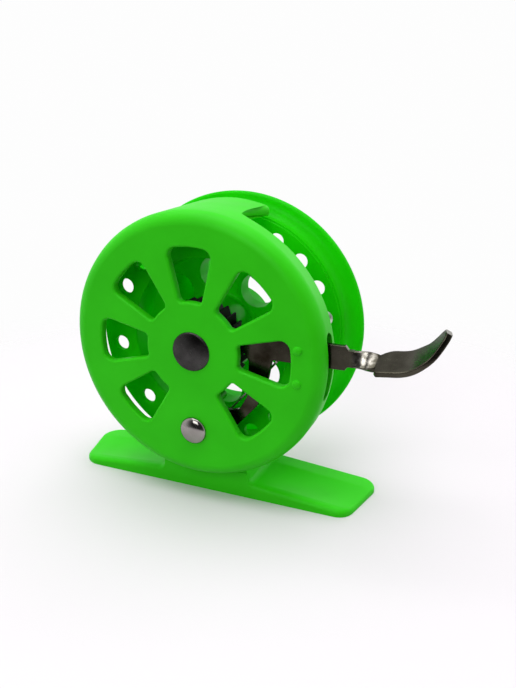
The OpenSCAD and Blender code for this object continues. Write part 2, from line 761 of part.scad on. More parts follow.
// Front view outline of the lever's flat part, from the neck over the pawl to the eye and back
function lever_points() =
    let (
        neck_low = strip_mid - neck_w / 2,
        neck_high = strip_mid + neck_w / 2,
        neck_x = shoulder_x + 1.8,
        nose = gear_tip_r + pawl_gap,
        arm_out = arm_x + arm_w
    )
    rounded([
        [neck_x, neck_low, 0], [neck_x, neck_high, 0], [shoulder_x + 0.6, neck_high, 0.3],
        [shoulder_x, strip_high, 0.4], [arm_x + 0.8, strip_high, 2],
        [nose, pawl_z + pawl_w / 2, 0.3], [nose, pawl_z - pawl_w / 2, 0.3],
        [arm_x + 0.2, strip_low - 0.9, 1.5], [arm_x - 0.2, 2 - arm_drop, 1.5],
        [arm_x - 2.2, -1.6 - arm_drop, 1.5], [0.7 * eye_r, eye_r - pivot_drop + 0.1, 0],
        [0, -pivot_drop, 0], [0.76 * eye_r, -pivot_drop - 0.62 * eye_r, 0],
        [arm_out - 7.6, 1 - pivot_drop, 2], [arm_out - 2.5, -arm_drop, 3], [arm_out, 6.8 - arm_drop, 3],
        [arm_out + 0.8, strip_low, 0.6], [shoulder_x, strip_low, 0.4], [shoulder_x + 0.6, neck_low, 0.3]]);

// One ring of the thumb plate: a flat section with chamfered corners, rolled about its own run
function thumb_ring(p, run, roll, w, t, shift) =
    let (
        up = [-run[1], 0, run[0]],
        wide = cos(roll) * [0, 1, 0] + sin(roll) * up,
        thick = cos(roll) * up - sin(roll) * [0, 1, 0],
        middle = [p[0], lever_mid - face_to_foot, axis_h + p[1]] + shift * wide,
        chamfer = 0.25
    )
    [for (c = [[-1, -1, 0], [-1, 1, 1], [1, 1, 0], [1, -1, 1]], k = [0, 1])
        let (first = (c[2] == k))
        middle
            + wide * c[0] * (w / 2 - (first ? chamfer : 0))
            + thick * c[1] * (t / 2 - (first ? 0 : chamfer))];

// Stations along the twist and the thumb plate: run past the shoulder, rise over the strip's middle,
// roll in degrees, width, and shift of the section's middle to the rear
function thumb_stations() = [
    [1, 0, 90, neck_w - 0.1, 0],
    [2.8, 0, 80, neck_w, 0],
    [4, -0.05, 62, neck_w + 0.2, 0],
    [5.2, -0.15, 42, neck_w + 0.4, 0],
    [6.1, -0.25, 27, neck_w + 0.7, 0],
    [6.5, -0.28, thumb_tilt + 3, neck_w + 0.9, 0],
    [6.7, -0.28, thumb_tilt, thumb_w * 0.78, -0.75],
    [7.8, -0.15, thumb_tilt, thumb_w * 0.91, -0.35],
    [9.2, 0, thumb_tilt, thumb_w, 0],
    [11.6, 0.32, thumb_tilt, thumb_w, 0],
    [13.6, 0.99, thumb_tilt, thumb_w * 0.95, 0],
    [15.6, 2.32, thumb_tilt, thumb_w * 0.85, 0],
    [17.1, 3.69, thumb_tilt, thumb_w * 0.7, 0],
    [18.4, 5.5, thumb_tilt, thumb_tip_w + 2.2, 0],
    [19.3, 7, thumb_tilt, thumb_tip_w + 1.2, 0],
    [19.8, 7.9, thumb_tilt, thumb_tip_w, 0]];

module thumb_plate() {
    s = thumb_stations();
    spots = [for (q = s) [shoulder_x + q[0], strip_mid + q[1]]];
    last = len(s) - 1;
    skin([for (i = [0:last])
        let (
            run = unit(spots[min(i + 1, last)] - spots[max(i - 1, 0)]),
            t = i == 0 ? lever_t - 0.1 : thumb_t
        )
        thumb_ring(spots[i], run, s[i][2], s[i][3], t, s[i][4])]);
}

module trigger_lever() {
    color(dark_steel) difference() {
        union() {
            slab(lever_front, lever_rear) polygon(lever_points());
            slab(lever_front, lever_rear) translate([0, -pivot_drop]) circle(eye_r);
            thumb_plate();
        }
        translate([0, 0, -pivot_drop]) face(lever_rear + cut)
            cylinder(r = pivot_bush_r + seat_gap, h = lever_t + 2 * cut);
    }
}

module pivot_bush() {
    color(brass) turned_at_pivot(ring_points(rivet_r + shaft_gap, pivot_bush_r,
        lever_front - end_gap / 2, lever_t + end_gap));
}

housing();
foot();
spindle();
spindle_collar();
front_washer();
rear_washer();
retaining_screw();
pivot_rivet();
rivet_washer();
return_spring();
spool();
ratchet_gear();
front_bush();
rear_bush();
knob_pin();
knob_washer();
knob_cap();
winding_knob();
trigger_lever();
pivot_bush();
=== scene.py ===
# Looks of a small trigger fishing reel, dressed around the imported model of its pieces.
# Sizes are in millimetres and angles in degrees, unless a comment says otherwise.
# x runs to the right, depth back from the housing's face, and z up from the spool's axis.
import math

import bmesh
import bpy
from mathutils import Matrix, Vector


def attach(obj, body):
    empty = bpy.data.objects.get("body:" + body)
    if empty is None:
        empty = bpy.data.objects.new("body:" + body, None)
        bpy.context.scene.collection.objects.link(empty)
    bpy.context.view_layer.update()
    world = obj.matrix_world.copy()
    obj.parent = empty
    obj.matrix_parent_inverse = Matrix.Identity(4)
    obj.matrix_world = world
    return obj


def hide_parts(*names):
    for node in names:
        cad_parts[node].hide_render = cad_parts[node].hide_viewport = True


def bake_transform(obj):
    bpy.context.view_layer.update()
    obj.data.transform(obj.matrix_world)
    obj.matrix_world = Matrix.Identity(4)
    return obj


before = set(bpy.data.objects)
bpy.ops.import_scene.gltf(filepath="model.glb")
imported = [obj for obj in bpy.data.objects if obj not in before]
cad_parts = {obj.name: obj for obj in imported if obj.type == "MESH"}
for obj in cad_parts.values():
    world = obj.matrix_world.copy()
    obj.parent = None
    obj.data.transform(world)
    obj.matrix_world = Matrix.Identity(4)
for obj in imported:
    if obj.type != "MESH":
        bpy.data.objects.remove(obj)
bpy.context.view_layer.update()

# Layout
MM = 0.001
AXIS_H = 36.3
FACE_TO_FOOT = 13.6
AXIS = (0.0, 0.0)
PIVOT = (0.0, -18.6)
HOLE_PHASE = 9.0
SEAT_GAP = 0.02
END_GAP = 0.1
BORE_EDGE = 0.1

# Housing
HOUSING_R = 30.0
WALL_T = 2.2
PLATE_T = 2.2
WALL_DEPTH = 7.2
SHOULDER_R = 3.0
INNER_R = HOUSING_R - WALL_T
INNER_FILLET = 1.3
WALL_EDGE = 0.6
WINDOW_ANGLES = (0, 45, 90, 135, 180, 225, 315)
WINDOW_IN_R = 10.9
WINDOW_OUT_R = 22.6
WINDOW_HALF = 13.8
WINDOW_CORNER = 2.0
WINDOW_INNER_CORNER = 1.0
WINDOW_EDGE = 0.55
HOOD_RIGHT_X = 7.2
HOOD_FLARE = 2.6
HOOD_LEFT_Z = 12.2
HOOD_CURVE_W = 8.5
HOOD_CURVE_D = 4.2
HOOD_CORNER = 1.6
HOOD_END = 23.0
HOOD_EDGE = 1.3
HOOD_SOFT_END = 88.0
HOOD_SOFT_FADE = 10.0
SLOT_TOP = 13.0
SLOT_BOTTOM = 16.0
SLOT_FRONT = 2.5
SLOT_W = 3.1
PIP_ANGLES = (8.1, -9.0)
PIP_RING_R = 24.4
PIP_R = 0.95
PIP_H = 0.5
PIP_FULLNESS = 0.7
PIP_ROOT = 0.2
PIP_SKIRT_W = 0.25
PIP_SKIRT_H = 0.05
PIP_SKIRT_ROOT = 0.01
BRIDGE_EDGE = 0.3
BOSS_R = 3.6
POST_R = 0.9
STUD_ROOT = 0.3
STUD_CHAMFER = 0.2

# Foot
FOOT_LEN = 76.6
FOOT_W = 17.0
FOOT_SLANT = 3.8
PEDESTAL_W = 21.4
WING_ROOT_T = 3.4
WING_TIP_T = 1.2
FOOT_CORNER = 3.6
FOOT_LEFT_CORNER = 5.0
FOOT_BACK_CORNER = 4.0
FOOT_FILLET = 2.2
TROUGH_R = 26.0
TROUGH_DEPTH = 0.55
TROUGH_SHIFT = 1.2
TROUGH_RUN_OUT = 9.0
FOOT_EDGE = 0.5
FOOT_FRONT_EDGE = 1.1
SEAT_EDGE = 0.05
FOOT_LEAST_T = 0.05
TIP_INSET = 0.01
SEAT_INSET = 0.001
SEAT_H = AXIS_H - HOUSING_R

# Spool
HUB_FRONT = 3.3
GEAR_REAR = 7.8
FLANGE_FRONT = 8.2
FLANGE_T = 1.5
REAR_FLANGE = 23.1
REAR_FACE = REAR_FLANGE + FLANGE_T
WEB_FRONT = 15.0
WEB_REAR = 20.0
FLANGE_R = 27.3
ARBOR_R = 20.2
ARBOR_IN = 18.7
CROWN_R = 27.0
CROWN_STEP_W = 0.5
CROWN_STEP_H = 0.3
RIM_IN_R = CROWN_R - FLANGE_T
RIM_R = 31.0
RIM_COVE = 2.8
LIP_FRONT = 26.3
LIP_REAR = 28.0
LIP_EDGE = 0.75
HUB_R = 9.2
BUSH_SEAT_R = 3.9
BUSH_LEN = 4.2
BUSH_LEDGE = 0.7
GEAR_BORE_R = 5.2
FLANGE_HOLES = 20
FLANGE_HOLE_R = 1.75
FLANGE_RING_R = 23.1
FLANGE_HOLE_EDGE = 0.3
FLANGE_CUT_REACH = 0.2
WEB_HOLES = 8
WEB_HOLE_R = 3.9
WEB_PHASE = 5.0
WEB_RING_R = 13.95
WEB_HOLE_EDGE = 0.5
WEB_CUT_REACH = 0.1
CUP_PLACE = 3
CUP_WALL = 1.0
CUP_R = WEB_HOLE_R + CUP_WALL
CUP_END = 32.0
CUP_OVERLAP = 1.0
CUP_ROUND = 1.2
CUP_INNER_ROUND = 0.8
PIN_HOLE_R = 1.22
RECESS_FILLET = 0.8
GROOVE_FILLET = 0.6
FLANGE_EDGE = 0.5
ARBOR_EDGE = 0.4
HUB_EDGE = 0.2
STEP_FILLET = 0.15
STEP_EDGE = 0.1

# Spindle and rivet
SPINDLE_R = 2.5
SPINDLE_HEAD_R = 4.4
SPINDLE_RIM_H = 0.35
SPINDLE_CONE_H = 0.8
SPINDLE_CONE_EDGE = 0.35
SPINDLE_BEVEL_W = 0.2
SPINDLE_BEVEL_H = 0.25
SPINDLE_EDGE = 0.15
SPINDLE_END = 24.7
SCREW_R = 1.5
SCREW_LEN = 9.0
DRILL_POINT = 1.0
RIVET_R = 1.6
RIVET_HEAD_R = 3.15
RIVET_RIM_H = 0.18
RIVET_DOME_H = 1.4
RIVET_UNDERCUT = 0.2
RIVET_TAIL_R = 2.8
TAIL_FRONT = 7.275
TAIL_REAR = 7.775
TAIL_CHAMFER_W = 0.3
TAIL_CHAMFER_H = 0.25

# Gear, lever and spring
GEAR_TEETH = 30
GEAR_TIP_R = 10.3
TOOTH_H = 1.2
TOOTH_RAMP = 0.78
TOOTH_TIP = 0.94
GEAR_EDGE = 0.08
GEAR_BORE_EDGE = 0.15
PAWL_GAP = 0.4
PAWL_Z = 1.1
PAWL_W = 1.2
PAWL_ROUND = 0.3
LEVER_FRONT = 3.45
LEVER_REAR = 4.65
LEVER_MID = (LEVER_FRONT + LEVER_REAR) / 2
LEVER_EDGE = 0.12
ARM_X = 11.8
ARM_OUT = 16.4
ARM_DROP = 11.8
ARM_IN_ROUND = 1.5
ARM_OUT_ROUND = 3.0
ELBOW_ROUND = 2.0
EYE_R = 4.2
EYE_BORE_R = 2.47
EYE_NECK_X = 3.2
EYE_ARC = (62, 321)
STRIP_LOW = -0.7
STRIP_HIGH = 4.5
STRIP_MID = (STRIP_LOW + STRIP_HIGH) / 2
STRIP_ROUND = 0.6
SHOULDER_X = 33.0
SHOULDER_RUN = 0.6
SHOULDER_ROUND = 0.4
NECK_W = 3.6
NECK_REACH = 1.8
NECK_ROUND = 0.3
THUMB_W = 7.5
THUMB_TIP_W = 1.8
THUMB_TILT = 17.0
THUMB_T = 1.3
THUMB_EDGE = 0.3
THUMB_ROOT_THINNER = 0.1
WIRE_D = 0.5
COIL_R = 2.4
CURLS = 1.5
COIL_FRONT = 5.5
COIL_REAR = 6.925
FIXED_LEG = 8.6
HOOK = Vector((18.2, -1.05))
HOOK_BEND = 0.8
HOOK_INSET = 0.3

# Surfaces, with noise in lumps per metre and relief in metres
GREEN_DARK = (0.036, 0.69, 0.006)
GREEN_LIGHT = (0.042, 0.76, 0.008)
# The spool's green lets more light through, and is also painted lighter than the housing's for the light
# that reaches the spool inside the housing
CLEAR_LIGHTENED_GREEN_DARK = (0.028, 0.76, 0.003)
CLEAR_LIGHTENED_GREEN_LIGHT = (0.034, 0.84, 0.004)
# Lighter bare steel for the lever's twist: rubbed wear and a painted highlight
BARE_STEEL_AND_HIGHLIGHT = (0.42, 0.4, 0.36)
COLOR_CLOUDS = 90
GLOSS_CLOUDS = 240
GRAIN = 5200
GRAIN_DEPTH = 0.00003
GRAIN_STRENGTH = 0.12
SKIN_GLOSS = (-0.05, 0.07)
MARKS_PER_CLOUD = 6
MARK_DEPTH = 0.00002
MARK_STRENGTH = 0.15
METAL_GLOSS = (-0.1, 0.14)
LEAST_ROUGHNESS = 0.04
TURNED_GLOSS = 0.75
# Size and blotches of the lighter patch on the twist, which is rubbed wear and a painted highlight
RUB_HIGHLIGHT_RUN = 4.0
RUB_HIGHLIGHT_REACH = 2.8
RUB_HIGHLIGHT_CORE = 0.4
RUB_HIGHLIGHT_BLOTCHES = 700
RUB_HIGHLIGHT_LEAST = (0.15, 0.15, 0.15)
RUB_HIGHLIGHT_BLOTCH_EDGE = (0.42, 0.58)
SHARP_ANGLE = 32

# Camera, from the photograph's perspective
PHOTO_H = 688
FOCAL_PX = 700
SENSOR_H = 36
CLIP_START = 0.005
CAMERA_AT = Vector((67.1, -138.6, 87.5))
CAMERA_BACK = Vector((0.3597, -0.8726, 0.3305))

# Studio, in metres and watts; a lamp has a name, a place, a width and a power
ROOM_DIM_SIDE = (0.25, -0.95, 0.2)
ROOM_TURN = (0.3, 0.85)
ROOM_FRONT = 0.04
ROOM_BACK = 0.85
ROOM_SEEN = 0.985
FLOOR_PALE = (0.82, 0.785, 0.82)
FLOOR_THROWN = (0.42, 0.42, 0.42)
FLOOR_START = 0.075
FLOOR_END = 0.16
LAMP_AIM = Vector((0, 0, 0.03))
LAMPS = (
    ("top_light", (-0.06, -0.02, 0.6), 0.5, 2.0),
    ("front_fill", (-0.02, -0.45, 0.3), 0.25, 0.75),
    ("back_light", (0.2, 0.5, 0.2), 0.3, 0.4))

# Fineness of the meshes
FINE = 8
HOOD_STEPS = 12
WALL_ROWS = 10
EDGE_ROWS = 6
COLUMN_DRIFT = 0.15
FOOT_HALF_STEPS = 30
WING_STEP = 1.2
SPOOL_FINE = 10
THUMB_STEPS = 4
COIL_STEPS = 24
WIRE_SIDES = 12
MITRE_LIMIT = 0.5
CUT_LEAD = 10
CUT_REACH = 0.5
MERGE_DIST = 1e-8
SLIVER_DIST = 1e-9

# Colour sockets of the mix node, whose names stand for its other sockets too
MIX_FIRST = 6
MIX_SECOND = 7
MIX_RESULT = 2


def place(x, depth, z):
    """Point of the part's frame, in metres."""
    return Vector((x, depth - FACE_TO_FOOT, AXIS_H + z)) * MM


def limited(value):
    """Value kept between 0 and 1."""
    return min(1.0, max(0.0, value))


def quarter(steps):
    """Angles from zero to a right angle, in radians."""
    return [math.radians(90 * k / steps) for k in range(steps + 1)]


def heading(angle):
    """Direction at an angle in radians."""
    return Vector((math.cos(angle), math.sin(angle)))


def arc(centre, r, start, end, steps=FINE):
    """Points on a circle between two angles in degrees."""
    angles = [math.radians(start + (end - start) * i / steps) for i in range(steps + 1)]
    return [(centre[0] + r * math.cos(a), centre[1] + r * math.sin(a)) for a in angles]


def on_circle(r, angle):
    """Point at an angle in degrees on a circle about the axis."""
    return arc(AXIS, r, angle, angle, 1)[0]


def circle(r, centre=AXIS, steps=48):
    """Closed round outline."""
    return arc(centre, r, 0, 360, steps)[:-1]


def corner_arc(before, here, after, r, steps):
    """One corner of an outline as an arc."""
    if r == 0:
        return [tuple(here)]
    u = (before - here).normalized()
    v = (after - here).normalized()
    half = u.angle(v) / 2
    centre = here + (u + v).normalized() * r / math.sin(half)
    start = here + u * r / math.tan(half) - centre
    end = here + v * r / math.tan(half) - centre
    first = math.atan2(start.y, start.x)
    turn = math.atan2(end.y, end.x) - first
    sweep = (turn + math.pi) % (2 * math.pi) - math.pi
    return arc(centre, r, math.degrees(first), math.degrees(first + sweep), steps)


def rounded(points, steps=FINE):
    """Outline of (x, y, radius) corners, each turned into an arc."""
    outline = []
    for i, (x, y, r) in enumerate(points):
        before = Vector(points[i - 1][:2])
        after = Vector(points[(i + 1) % len(points)][:2])
        outline += corner_arc(before, Vector((x, y)), after, r, steps)
    return outline


def spread(outline, distance):
    """Anticlockwise outline moved outwards by a distance."""
    moved = []
    for i, p in enumerate(outline):
        before = (Vector(p) - Vector(outline[i - 1])).normalized()
        after = (Vector(outline[(i + 1) % len(outline)]) - Vector(p)).normalized()
        n0 = Vector((before.y, -before.x))
        n1 = Vector((after.y, -after.x))
        shift = (n0 + n1) / max(1 + n0.dot(n1), MITRE_LIMIT)
        moved.append((p[0] + shift.x * distance, p[1] + shift.y * distance))
    return moved


def turned_outline(outline, degrees):
    """Outline turned about the axis."""
    a = math.radians(degrees)
    c, s = math.cos(a), math.sin(a)
    return [(c * x - s * y, s * x + c * y) for x, y in outline]


def linked(name, data):
    """New object in the scene."""
    obj = bpy.data.objects.new(name, data)
    bpy.context.scene.collection.objects.link(obj)
    return obj


def mesh_object(name, verts, faces):
    """Object from points and faces, with doubles merged and faces turned outwards."""
    mesh = bpy.data.meshes.new(name)
    mesh.from_pydata(verts, [], faces)
    bm = bmesh.new()
    bm.from_mesh(mesh)
    bmesh.ops.remove_doubles(bm, verts=bm.verts, dist=MERGE_DIST)
    bmesh.ops.dissolve_degenerate(bm, edges=bm.edges, dist=SLIVER_DIST)
    bmesh.ops.recalc_face_normals(bm, faces=bm.faces)
    bm.to_mesh(mesh)
    bm.free()
    return linked(name, mesh)


def loft(name, rings, caps=True, wrap=False):
    """Skin through rings of points that all have the same count."""
    m = len(rings[0])
    n = len(rings)
    faces = []
    for i in range(n if wrap else n - 1):
        here, there = i * m, (i + 1) % n * m
        for j in range(m):
            k = (j + 1) % m
            faces.append((here + j, here + k, there + k, there + j))
    if caps:
        faces += [tuple(range(m)), tuple(range((n - 1) * m, n * m))]
    return mesh_object(name, [p for ring in rings for p in ring], faces)


def revolve(name, profile, centre=AXIS, *, steps):
    """Turned piece from a closed outline of (radius, depth) points."""
    rings = []
    for i in range(steps):
        a = 2 * math.pi * i / steps
        c, s = math.cos(a), math.sin(a)
        rings.append([place(centre[0] + r * c, d, centre[1] + r * s) for r, d in profile])
    return loft(name, rings, caps=False, wrap=True)


def skinned(name, outline, rows, front, rear):
    """Solid from a front view outline, with the same rows of (spread, depth) at both ends."""
    levels = [(o, front + d) for o, d in rows] + [(o, rear - d) for o, d in reversed(rows)]
    return loft(name, [[place(x, d, z) for x, z in spread(outline, o)] for o, d in levels])


def slab(name, outline, front, rear, edge):
    """Plate with rounded front and rear edges, from a front view outline."""
    rows = [(-edge * (1 - math.sin(a)), edge * (1 - math.cos(a))) for a in quarter(3)]
    return skinned(name, outline, rows, front, rear)


def flared(name, outline, front, rear, edge, reach=CUT_REACH):
    """Cutter for a hole whose front and rear edges come out rounded."""
    lead = math.radians(CUT_LEAD)
    rows = []
    for k in range(6):
        a = lead + (math.pi / 2 - lead) * k / 5
        rows.append((edge * (1 - math.sin(a)), edge * (1 - math.cos(a))))
    rows.insert(0, (rows[0][0] + reach, rows[0][1] - reach * math.tan(lead)))
    return skinned(name, outline, rows, front, rear)


def joined(name, parts):
    """One object from several, which are removed."""
    bm = bmesh.new()
    for part in parts:
        bm.from_mesh(part.data)
        bpy.data.objects.remove(part)
    mesh = bpy.data.meshes.new(name)
    bm.to_mesh(mesh)
    bm.free()
    return linked(name, mesh)


def combine(obj, tool, operation):
    """Joins a second solid to an object or takes it away."""
    step = obj.modifiers.new("combine", "BOOLEAN")
    step.object = tool
    step.operation = operation
    step.solver = "EXACT"
    bpy.context.view_layer.update()
    done = obj.evaluated_get(bpy.context.evaluated_depsgraph_get())
    mesh = bpy.data.meshes.new_from_object(done)
    obj.modifiers.clear()
    obj.data = mesh
    bpy.data.objects.remove(tool)
    return obj


def add(obj, part):
    """Object with a second solid joined to it."""
    return combine(obj, part, "UNION")


def carve(obj, cutters):
    """Object with several solids taken away from it."""
    return combine(obj, joined("cutter", cutters), "DIFFERENCE")


def shade(obj):
    """Smooth shading that keeps true corners and flat faces."""
    obj.data.polygons.foreach_set("use_smooth", [True] * len(obj.data.polygons))
    obj.data.set_sharp_from_angle(angle=math.radians(SHARP_ANGLE))
    step = obj.modifiers.new("normals", "WEIGHTED_NORMAL")
    step.keep_sharp = True


def dress(obj, slot, material, *nodes):
    """Shades and paints a new piece, and hides the imported nodes that it stands for; its slot is not
    used.
    """
    shade(obj)
    obj.data.materials.clear()
    obj.data.materials.append(material)
    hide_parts(*nodes)


def piece(obj, body, slot, material, *nodes):
    """Dresses a new piece and ties it to its body."""
    dress(obj, slot, material, *nodes)
    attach(obj, body)


# Materials

def shader(name, color, roughness, metallic=0.0, specular=0.5):
    """Principled material and its node tree."""
    material = bpy.data.materials.new(name)
    material.use_nodes = True
    bsdf = material.node_tree.nodes["Principled BSDF"]
    bsdf.inputs["Base Color"].default_value = (*color, 1)
    bsdf.inputs["Roughness"].default_value = roughness
    bsdf.inputs["Metallic"].default_value = metallic
    bsdf.inputs["Specular IOR Level"].default_value = specular
    return material, material.node_tree, bsdf


def noise(tree, scale, detail=4.0):
    """Noise in the object's own coordinates, in lumps per metre."""
    where = tree.nodes.new("ShaderNodeTexCoord")
    texture = tree.nodes.new("ShaderNodeTexNoise")
    texture.inputs["Scale"].default_value = scale
    texture.inputs["Detail"].default_value = detail
    tree.links.new(where.outputs["Object"], texture.inputs["Vector"])
    return texture.outputs["Fac"]


def measured(tree, space, operation, other=(0, 0, 0)):
    """Value that a vector operation gives for the coordinates of a space and a second vector."""
    where = tree.nodes.new("ShaderNodeTexCoord")
    node = tree.nodes.new("ShaderNodeVectorMath")
    node.operation = operation
    node.inputs[1].default_value = other
    tree.links.new(where.outputs[space], node.inputs[0])
    return node.outputs["Value"]


def worked_out(tree, operation, first, second):
    """Value that an operation gives for two values."""
    node = tree.nodes.new("ShaderNodeMath")
    node.operation = operation
    tree.links.new(first, node.inputs[0])
    tree.links.new(second, node.inputs[1])
    return node.outputs[0]


def ramp(tree, fac, low, high, start=0.3, end=0.7):
    """Colours from low to high as a value rises."""
    node = tree.nodes.new("ShaderNodeValToRGB")
    node.color_ramp.elements[0].position = start
    node.color_ramp.elements[0].color = (*low, 1)
    node.color_ramp.elements[1].position = end
    node.color_ramp.elements[1].color = (*high, 1)
    tree.links.new(fac, node.inputs["Fac"])
    return node.outputs["Color"]


def spanned(tree, value, low, high, start=0.0, end=1.0, smooth=False):
    """A value between start and end, spread from low to high."""
    node = tree.nodes.new("ShaderNodeMapRange")
    if smooth:
        node.interpolation_type = "SMOOTHSTEP"
    limits = {"From Min": start, "From Max": end, "To Min": low, "To Max": high}
    for socket, limit in limits.items():
        node.inputs[socket].default_value = limit
    tree.links.new(value, node.inputs["Value"])
    return node.outputs["Result"]


def color_mix(tree, share, color):
    """Mix node that goes over to a fixed colour by a share."""
    node = tree.nodes.new("ShaderNodeMix")
    node.data_type = "RGBA"
    node.inputs[MIX_SECOND].default_value = (*color, 1)
    tree.links.new(share, node.inputs[0])
    return node


def bump(tree, bsdf, height, distance, strength):
    """Fine relief on a material."""
    node = tree.nodes.new("ShaderNodeBump")
    node.inputs["Strength"].default_value = strength
    node.inputs["Distance"].default_value = distance
    tree.links.new(height, node.inputs["Height"])
    tree.links.new(node.outputs["Normal"], bsdf.inputs["Normal"])


def let_through(tree, bsdf, color, share):
    """Lets a share of the light behind a thin plastic through."""
    through = tree.nodes.new("ShaderNodeBsdfTranslucent")
    tree.links.new(color, through.inputs["Color"])
    mix = tree.nodes.new("ShaderNodeMixShader")
    mix.inputs["Fac"].default_value = share
    tree.links.new(bsdf.outputs["BSDF"], mix.inputs[1])
    tree.links.new(through.outputs["BSDF"], mix.inputs[2])
    tree.links.new(mix.outputs["Shader"], tree.nodes["Material Output"].inputs["Surface"])


def moulded_plastic(name, dark, light, roughness, specular=0.3, glow=0.0):
    """Satin moulded plastic with faint clouding and a fine skin, which may let some light through."""
    material, tree, bsdf = shader(name, light, roughness, specular=specular)
    color = ramp(tree, noise(tree, COLOR_CLOUDS), dark, light)
    tree.links.new(color, bsdf.inputs["Base Color"])
    smoothest, roughest = SKIN_GLOSS
    gloss = spanned(tree, noise(tree, GLOSS_CLOUDS), roughness + smoothest, roughness + roughest)
    tree.links.new(gloss, bsdf.inputs["Roughness"])
    bump(tree, bsdf, noise(tree, GRAIN, 2), GRAIN_DEPTH, GRAIN_STRENGTH)
    if glow:
        let_through(tree, bsdf, color, glow)
    return material


def rubbed_and_highlit(tree, color, at, reach, bare_and_highlight):
    """Colour that gives way to lighter bare metal in blotches around a point: rubbed wear and a painted
    highlight.
    """
    far = measured(tree, "Object", "DISTANCE", at)
    near = spanned(tree, far, 1.0, 0.0, RUB_HIGHLIGHT_CORE * reach, reach)
    blotch = ramp(tree, noise(tree, RUB_HIGHLIGHT_BLOTCHES, 3), RUB_HIGHLIGHT_LEAST, (1, 1, 1), *RUB_HIGHLIGHT_BLOTCH_EDGE)
    mix = color_mix(tree, worked_out(tree, "MULTIPLY", near, blotch), bare_and_highlight)
    tree.links.new(color, mix.inputs[MIX_FIRST])
    return mix.outputs[MIX_RESULT]


def turned_face(tree, bsdf):
    """Gloss drawn out by fine turning marks about the piece's depth axis."""
    around = tree.nodes.new("ShaderNodeTangent")
    around.direction_type = "RADIAL"
    around.axis = "Y"
    tree.links.new(around.outputs["Tangent"], bsdf.inputs["Tangent"])
    bsdf.inputs["Anisotropic"].default_value = TURNED_GLOSS


def worn_metal(name, dark, light, roughness, scale, rub_and_highlight=None, turned=False):
    """Metal with tarnish clouds, fine marks and uneven gloss."""
    material, tree, bsdf = shader(name, light, roughness, metallic=1.0)
    color = ramp(tree, noise(tree, scale, 8), dark, light)
    # A lighter patch that is rubbed wear and a painted highlight
    if rub_and_highlight:
        color = rubbed_and_highlit(tree, color, *rub_and_highlight)
    if turned:
        turned_face(tree, bsdf)
    tree.links.new(color, bsdf.inputs["Base Color"])
    marks = noise(tree, scale * MARKS_PER_CLOUD, 3)
    smoothest, roughest = METAL_GLOSS
    gloss = spanned(tree, marks, max(roughness + smoothest, LEAST_ROUGHNESS), roughness + roughest)
    tree.links.new(gloss, bsdf.inputs["Roughness"])
    bump(tree, bsdf, marks, MARK_DEPTH, MARK_STRENGTH)
    return material


GREEN = moulded_plastic("green_moulding", GREEN_DARK, GREEN_LIGHT, 0.42, 0.14, 0.06)
# Painted light: the spool's thin moulding is coloured lighter than the housing's green, besides the light
# it lets through
THIN_LIGHTENED_GREEN = moulded_plastic("thin_lightened_green_moulding", CLEAR_LIGHTENED_GREEN_DARK, CLEAR_LIGHTENED_GREEN_LIGHT, 0.34, 0.13, 0.5)
BLACK = moulded_plastic("black_moulding", (0.002, 0.002, 0.002), (0.005, 0.005, 0.005), 0.5, 0.06)
NYLON = moulded_plastic("nylon_sheet", (0.55, 0.55, 0.5), (0.66, 0.66, 0.6), 0.5)
# Painted highlight and rubbed wear: lighter bare steel in blotches round the lever's twist
TWIST_RUB_AND_HIGHLIGHT = (place(SHOULDER_X + RUB_HIGHLIGHT_RUN, LEVER_MID, STRIP_MID), RUB_HIGHLIGHT_REACH * MM, BARE_STEEL_AND_HIGHLIGHT)
TRIGGER_STEEL = worn_metal(
    "tarnished_sheet", (0.014, 0.011, 0.006), (0.08, 0.075, 0.056), 0.22, 160, rub_and_highlight=TWIST_RUB_AND_HIGHLIGHT)
SPINDLE_STEEL = worn_metal(
    "turned_dark_steel", (0.03, 0.029, 0.028), (0.07, 0.068, 0.066), 0.22, 300, turned=True)
BRIGHT_STEEL = worn_metal("polished_steel", (0.24, 0.225, 0.21), (0.34, 0.32, 0.305), 0.1, 200)
PLATED_STEEL = worn_metal("plated_pin", (0.7, 0.7, 0.68), (0.88, 0.88, 0.86), 0.4, 300)
SPRING_STEEL = worn_metal("spring_wire", (0.3, 0.29, 0.27), (0.5, 0.48, 0.45), 0.26, 400)
BRASS = worn_metal("turned_brass", (0.42, 0.28, 0.1), (0.62, 0.45, 0.18), 0.26, 240)


# Housing

def angle_at_x(x):
    """Angle over +X at which the housing's outside stands at x."""
    return math.degrees(math.acos(x / HOUSING_R))


def angle_at_left(z):
    """Angle on the left side at which the housing's outside stands at z."""
    return 180 - math.degrees(math.asin(z / HOUSING_R))


def hood_rise(share):
    """Point on the curve from the wall's edge to the hood's edge: width left to go, and depth."""
    a = math.radians(90 * share)
    return HOOD_CURVE_W * (1 - math.sin(a)), WALL_DEPTH + HOOD_CURVE_D * (1 - math.cos(a))


def steps_between(start, end, step):
    """Values from start up to and with end, about a step apart."""
    count = max(1, round(abs(end - start) / step))
    return [start + (end - start) * i / count for i in range(count + 1)]


def hood_right_edge():
    """Rear edge where the hood rises on the right, as (angle, depth) points."""
    edge = []
    for k in range(1, HOOD_STEPS + 1):
        left, depth = hood_rise(k / HOOD_STEPS)
        edge.append((angle_at_x(HOOD_RIGHT_X + left), depth))
    turn = HOOD_END - HOOD_CORNER
    flare_start = WALL_DEPTH + HOOD_CURVE_D
    for d in steps_between(flare_start, turn, 1)[1:]:
        share = (d - flare_start) / (turn - flare_start)
        edge.append((angle_at_x(HOOD_RIGHT_X + HOOD_FLARE * share ** 2), d))
    corner = arc((HOOD_RIGHT_X + HOOD_FLARE - HOOD_CORNER, turn), HOOD_CORNER, 0, 90)
    return edge + [(angle_at_x(x), d) for x, d in corner[1:]]


